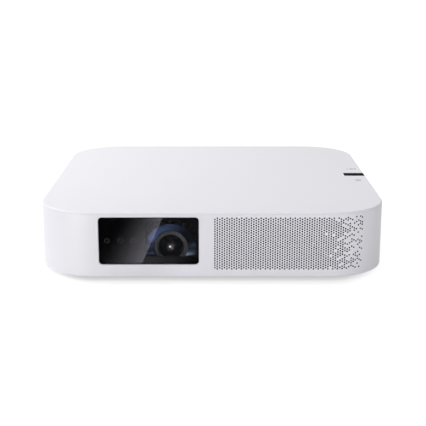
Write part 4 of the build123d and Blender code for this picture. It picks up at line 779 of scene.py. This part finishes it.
class PROJECTOR_OT_marks(bpy.types.Operator):
    """Print the key marks on the top cover beside the control strip"""
    bl_idname = "projector.marks"
    bl_label = "Key Marks"

    def execute(self, context):
        shell = context.scene.projector_shell
        print_height = CAD_BOX[1].z + 0.006 * MM
        thin, thick = 0.6, 0.7
        points, faces = [], []

        def strip(corners):
            base = len(points)
            points.extend((x * MM, y * MM, print_height) for x, y in corners)
            faces.append(tuple(range(base, base + len(corners))))

        def bar(x, y, length, width):
            strip(((x - length / 2, y - width / 2), (x + length / 2, y - width / 2),
                   (x + length / 2, y + width / 2), (x - length / 2, y + width / 2)))

        def arc(x, y, inner, outer, start, end, steps=28):
            for i in range(steps):
                a, b = (math.radians(start + (end - start) * j / steps) for j in (i, i + 1))
                strip([(x + reach * math.cos(turn), y + reach * math.sin(turn))
                       for reach, turn in ((inner, a), (outer, a), (outer, b), (inner, b))])

        power_x, power_y, minus_x, sound_x, plus_x, volume_y = 93.85, -17.4, 91.5, 93.9, 96.6, 17.1
        arc(power_x, power_y, 1.15, 1.75, 125, 415)
        bar(power_x, power_y + 1.4, thin, 2.1)
        bar(minus_x, volume_y, 1.5, thick)
        bar(plus_x, volume_y, 1.5, thick)
        for side in (-1, 1):
            bar(plus_x, volume_y + side * 0.725, thin, 0.75)
        strip([(sound_x + x, volume_y + y) for x, y in (
            (-0.9, -0.6), (-0.3, -0.6), (0.5, -1.5), (0.5, 1.5), (-0.3, 0.6), (-0.9, 0.6))])
        arc(sound_x, volume_y, 1.0, 1.5, -50, 50, 10)
        mesh = bpy.data.meshes.new("key_marks")
        mesh.from_pydata(points, [], faces)
        ink = moulded("Mark ink", shell.mark_colour, 0.5, 0.2, 0.001, 0.04)
        handed_in(linked("key_marks", mesh, ink), "housing", "shell_silver")
        return {"FINISHED"}


class PROJECTOR_OT_sockets(bpy.types.Operator):
    """Finish the rear panel and its sockets, with their contacts"""
    bl_idname = "projector.sockets"
    bl_label = "Rear Sockets"

    def execute(self, context):
        dress(context, *SOCKET_NODES)
        tree = contact_tree()
        gold = metal("Gold plate", tone(222, 184, 96), 0.22, (1, 12, 1))
        thickness = 0.1
        hdmi_xs, hdmi_y, hdmi_tongue = (-34.5, -16.5), 94.2, 12.8
        usb_x, usb_y, usb_tongues = 1.5, 94.8, (13.8, 21.8)
        rows = [(f"hdmi_contacts_{i}", 10, 1.0, 0.45, 6.0, (x, hdmi_y, hdmi_tongue))
                for i, x in enumerate(hdmi_xs, 1)]
        rows += [(f"usb_contacts_{i}", 4, 2.2, 1.1, 6.5, (usb_x, usb_y, tongue))
                 for i, tongue in enumerate(usb_tongues, 1)]
        for name, count, pitch, width, length, (x, y, tongue) in rows:
            piece = linked(name, bpy.data.meshes.new(name))
            grow(piece, tree, {"Count": count, "Pitch": pitch * MM, "Width": width * MM, "Length": length * MM,
                               "Thickness": thickness * MM, "Finish": gold,
                               "Middle": (x * MM, y * MM, (tongue - thickness / 2) * MM)})
            handed_in(piece, "housing", "brass")
        return {"FINISHED"}


class PROJECTOR_OT_underside(bpy.types.Operator):
    """Finish the base cover, its feet, its screws and the tripod insert"""
    bl_idname = "projector.underside"
    bl_label = "Underside"

    def execute(self, context):
        dress(context, *BASE_NODES)
        return {"FINISHED"}


class PROJECTOR_OT_inside(bpy.types.Operator):
    """Finish the light engine, the cooling, the speakers and the boards inside the case"""
    bl_idname = "projector.inside"
    bl_label = "Inside"

    def execute(self, context):
        outside = {*SHELL_NODES, *FRONT_NODES, *LENS_NODES, *SOCKET_NODES, *BASE_NODES}
        dress(context, *(name for name in NODES if name not in outside))
        return {"FINISHED"}


def lying(left, right, near, far, height=0.5):
    """Corners of a card that lies just over the table, in millimetres."""
    return (left, near, height), (right, near, height), (right, far, height), (left, far, height)


def spark(x, y):
    """Corners of the small card whose image is one spark in the lens."""
    half_width, half_depth = 0.6, 1.4
    return lying(x - half_width, x + half_width, y - half_depth, y + half_depth, 0.7)


# Cards of one even light: name, corners, strength, colour
EVEN_CARDS = (
    ("sheen_card", lying(-200, -100, -300, -185), 2.8, (0.9, 1.0, 0.8)),
    ("spark_card_1", spark(-26.7, -164.9), 20.0, WHITE),
    ("spark_card_2", spark(-25.4, -161.6), 2.6, WHITE),
    ("glint_card", ((-700, -680, 2), (-540, -830, 2), (-540, -830, 130), (-700, -680, 130)), 45.0,
     (1.0, 0.92, 0.6)))


class PROJECTOR_OT_stage(bpy.types.Operator):
    """Set up the table, the studio lights and the camera"""
    bl_idname = "projector.stage"
    bl_label = "Stage"

    def execute(self, context):
        stage, scene = context.scene.projector_stage, context.scene
        scene.view_settings.view_transform = "Standard"
        self.floor(context.scene.projector_shell)
        self.glass_card()
        self.hood_card()
        self.dark_card()
        for name, corners, strength, colour in EVEN_CARDS:
            tree, _ = self.card(name, corners)
            self.glow(tree, strength, colour)
        scene.world = self.room(stage)
        self.lamp("Key", place=(-0.32, 0.06, 0.4), width=0.4, power=stage.key_power)
        self.lamp("Fill", place=(-0.05, -1.1, 0.3), width=0.3, power=stage.fill_power)
        lens = bpy.data.cameras.new("Camera")
        lens.lens = stage.focal_length
        lens.sensor_width = 36.0
        lens.shift_x = 0.002
        camera = bpy.data.objects.new("Camera", lens)
        camera.location = (0, -stage.camera_distance, stage.camera_height)
        camera.rotation_euler = (math.pi / 2 - stage.camera_tilt, 0, 0)
        scene.collection.objects.link(camera)
        scene.camera = camera
        return {"FINISHED"}

    def room(self, stage):
        """Even light that weakens to both sides, mostly to the right, before a white background."""
        world = bpy.data.worlds.new("Studio")
        world.use_nodes = True
        tree = world.node_tree
        left_slant = 0.27
        seen = self.seen(tree)
        way = add(tree, "ShaderNodeSeparateXYZ", {0: add(tree, "ShaderNodeTexCoord").outputs["Generated"]})
        right = calc(tree, "MAXIMUM", way.outputs["X"], 0.0)
        left = calc(tree, "MINIMUM", way.outputs["X"], 0.0)
        slant = calc(tree, "MULTIPLY_ADD", left, left_slant,
                     calc(tree, "MULTIPLY_ADD", right, -stage.slant, 1.0))
        side = calc(tree, "MULTIPLY", slant, stage.sky)
        light = calc(tree, "MULTIPLY", side, calc(tree, "SUBTRACT", 1.0, seen))
        feed(tree, calc(tree, "ADD", light, seen), tree.nodes["Background"].inputs["Strength"])
        tree.nodes["Background"].inputs["Color"].default_value = (*WHITE, 1.0)
        return world

    def seen(self, tree):
        """One where the background itself is looked at, straight, in gloss or through glass."""
        path = add(tree, "ShaderNodeLightPath").outputs
        straight = calc(tree, "MAXIMUM", path["Is Camera Ray"], path["Is Glossy Ray"])
        return calc(tree, "MAXIMUM", straight, path["Is Transmission Ray"])

    def floor(self, shell):
        """Pale table that runs on to white away from the object and keeps its shadow; near the foot of the body
        its glow is painted dimmer, a painted shadow.
        """
        half = 15.0
        mesh = bpy.data.meshes.new("table")
        mesh.from_pydata([(-half, -half, 0), (half, -half, 0), (half, half, 0), (-half, half, 0)], [],
                         [(0, 1, 2, 3)])
        material, tree, shader = surface("Table", Roughness=0.9, Specular_IOR_Level=0.1,
                                         Emission_Color=(*WHITE, 1.0))
        grain, lit, looked_at = 0.03, tone(245, 245, 246), tone(149, 149, 149)
        seen = self.seen(tree)
        soft = calc(tree, "MULTIPLY_ADD", noise(tree, place_of(tree), 30, 3), grain, seen)
        feed(tree, tones(tree, soft, lit, looked_at, grain, 1.0), shader["Base Color"])
        # Painted shadow: the glow the camera sees is dimmer near the foot of the body, most in front; it rises
        # sooner to the sides, which paints out the real shadow there
        painted_shadow_glow = mapped(tree, self.clearance(tree, shell.corner), -8 * MM, 15 * MM, 0.53, 0.85,
                      interpolation_type="SMOOTHSTEP")
        feed(tree, calc(tree, "MULTIPLY", painted_shadow_glow, seen), shader["Emission Strength"])
        linked("table", mesh, material)

    def clearance(self, tree, corner):
        """Distance on the table from the foot of the body, counted longer to the sides."""
        side_stretch = 1.6
        inner = (CAD_BOX[1].x - corner, CAD_BOX[1].y - corner, 1.0)
        past = vector(tree, "SUBTRACT", vector(tree, "ABSOLUTE", place_of(tree)), inner)
        past = vector(tree, "MAXIMUM", past, (0, 0, 0))
        past = vector(tree, "MULTIPLY", past, (side_stretch, 1, 1))
        return calc(tree, "SUBTRACT", vector(tree, "LENGTH", past), corner)

    def glass_card(self):
        """Reflection in the front glass: it brightens up to a slanted edge and is dark past it."""
        tree, place = self.card("glass_card", lying(-90, -4, -250, -126))
        start, edge, lean, curve, peak = -81.5 * MM, -50.9 * MM, 0.067, 2.4, 1.1
        rest, low_end = 0.04, -144.1 * MM
        across = calc(tree, "MULTIPLY_ADD", place["Y"], lean, place["X"])
        bright = calc(tree, "POWER", mapped(tree, across, start, edge), curve)
        side = calc(tree, "LESS_THAN", across, edge)
        low = mapped(tree, place["X"], -40 * MM, -12 * MM, 0.2, -0.03)
        low = calc(tree, "MULTIPLY", low, calc(tree, "GREATER_THAN", place["Y"], low_end))
        dark = calc(tree, "MULTIPLY", calc(tree, "ADD", low, rest), calc(tree, "SUBTRACT", 1.0, side))
        level = calc(tree, "MULTIPLY_ADD", calc(tree, "MULTIPLY", bright, side), peak, dark)
        self.glow(tree, level, (0.95, 0.9, 1.0))

    def hood_card(self):
        """Light that the funnel of the lens hood mirrors, strongest at its upper left."""
        tree, place = self.card("hood_card", lying(-60, 10, -126, -104))
        rise = mapped(tree, place["X"], -31 * MM, -14 * MM, 0.04, 2.9)
        fall = mapped(tree, place["X"], -14 * MM, -4 * MM, 1.0, 0.3)
        self.glow(tree, calc(tree, "MULTIPLY", rise, fall), (0.76, 0.84, 1.0))

    def dark_card(self):
        """Dim card beside the glass one, which keeps the white table out of the lens hood."""
        tree, place = self.card("dark_card", lying(4, 70, -185, -127))
        self.glow(tree, mapped(tree, place["X"], 4 * MM, 70 * MM, 0.25, 0.1), WHITE)

    def glow(self, tree, strength, colour):
        """Set the light of a card."""
        inputs = tree.nodes["Emission"].inputs
        feed(tree, strength, inputs["Strength"])
        inputs["Color"].default_value = (*colour, 1.0)

    def card(self, name, corners):
        """One glowing card that only gloss and glass see: its tree and the place on it."""
        mesh = bpy.data.meshes.new(name)
        mesh.from_pydata([tuple(v * MM for v in corner) for corner in corners], [], [(0, 1, 2, 3)])
        material = bpy.data.materials.new(name)
        material.use_nodes = True
        tree = material.node_tree
        tree.nodes.clear()
        feed(tree, add(tree, "ShaderNodeEmission").outputs[0],
             add(tree, "ShaderNodeOutputMaterial").inputs["Surface"])
        card = linked(name, mesh, material)
        for kind in ("camera", "diffuse", "shadow", "volume_scatter"):
            setattr(card, "visible_" + kind, False)
        return tree, add(tree, "ShaderNodeSeparateXYZ", {0: place_of(tree)}).outputs

    def lamp(self, name, place, width, power):
        """Square soft light aimed at the object."""
        light = bpy.data.lights.new(name, "AREA")
        light.shape = "SQUARE"
        light.size = width
        light.energy = power
        lamp = bpy.data.objects.new(name, light)
        lamp.location = place
        lamp.rotation_euler = (Vector((0, 0, 0.02)) - Vector(place)).to_track_quat("-Z", "Y").to_euler()
        bpy.context.scene.collection.objects.link(lamp)


OPERATORS = (PROJECTOR_OT_inside, PROJECTOR_OT_shell, PROJECTOR_OT_fascia, PROJECTOR_OT_window,
             PROJECTOR_OT_lens, PROJECTOR_OT_marks, PROJECTOR_OT_sockets, PROJECTOR_OT_underside,
             PROJECTOR_OT_stage)


class PROJECTOR_PT_panel(bpy.types.Panel):
    """Lists the pieces of the projector and their sizes"""
    bl_idname = "PROJECTOR_PT_panel"
    bl_label = "Home Projector"
    bl_space_type = "VIEW_3D"
    bl_region_type = "UI"
    bl_category = "Projector"

    def draw(self, context):
        for operator in OPERATORS:
            self.layout.operator(operator.bl_idname)
        for group in GROUPS:
            box = self.layout.box()
            values = getattr(context.scene, group)
            for key in values.__annotations__:
                box.prop(values, key)


GROUPS = {"projector_grille": ProjectorGrille, "projector_shell": ProjectorShell,
          "projector_stage": ProjectorStage}
CLASSES = (*GROUPS.values(), *OPERATORS, PROJECTOR_PT_panel)


def register():
    for item in CLASSES:
        bpy.utils.register_class(item)
    for key, group in GROUPS.items():
        setattr(bpy.types.Scene, key, PointerProperty(type=group))


def unregister():
    for key in GROUPS:
        delattr(bpy.types.Scene, key)
    for item in reversed(CLASSES):
        bpy.utils.unregister_class(item)


def main():
    register()
    for operator in OPERATORS:
        getattr(bpy.ops.projector, operator.bl_idname.split(".")[1])()


if __name__ == "__main__":
    main()
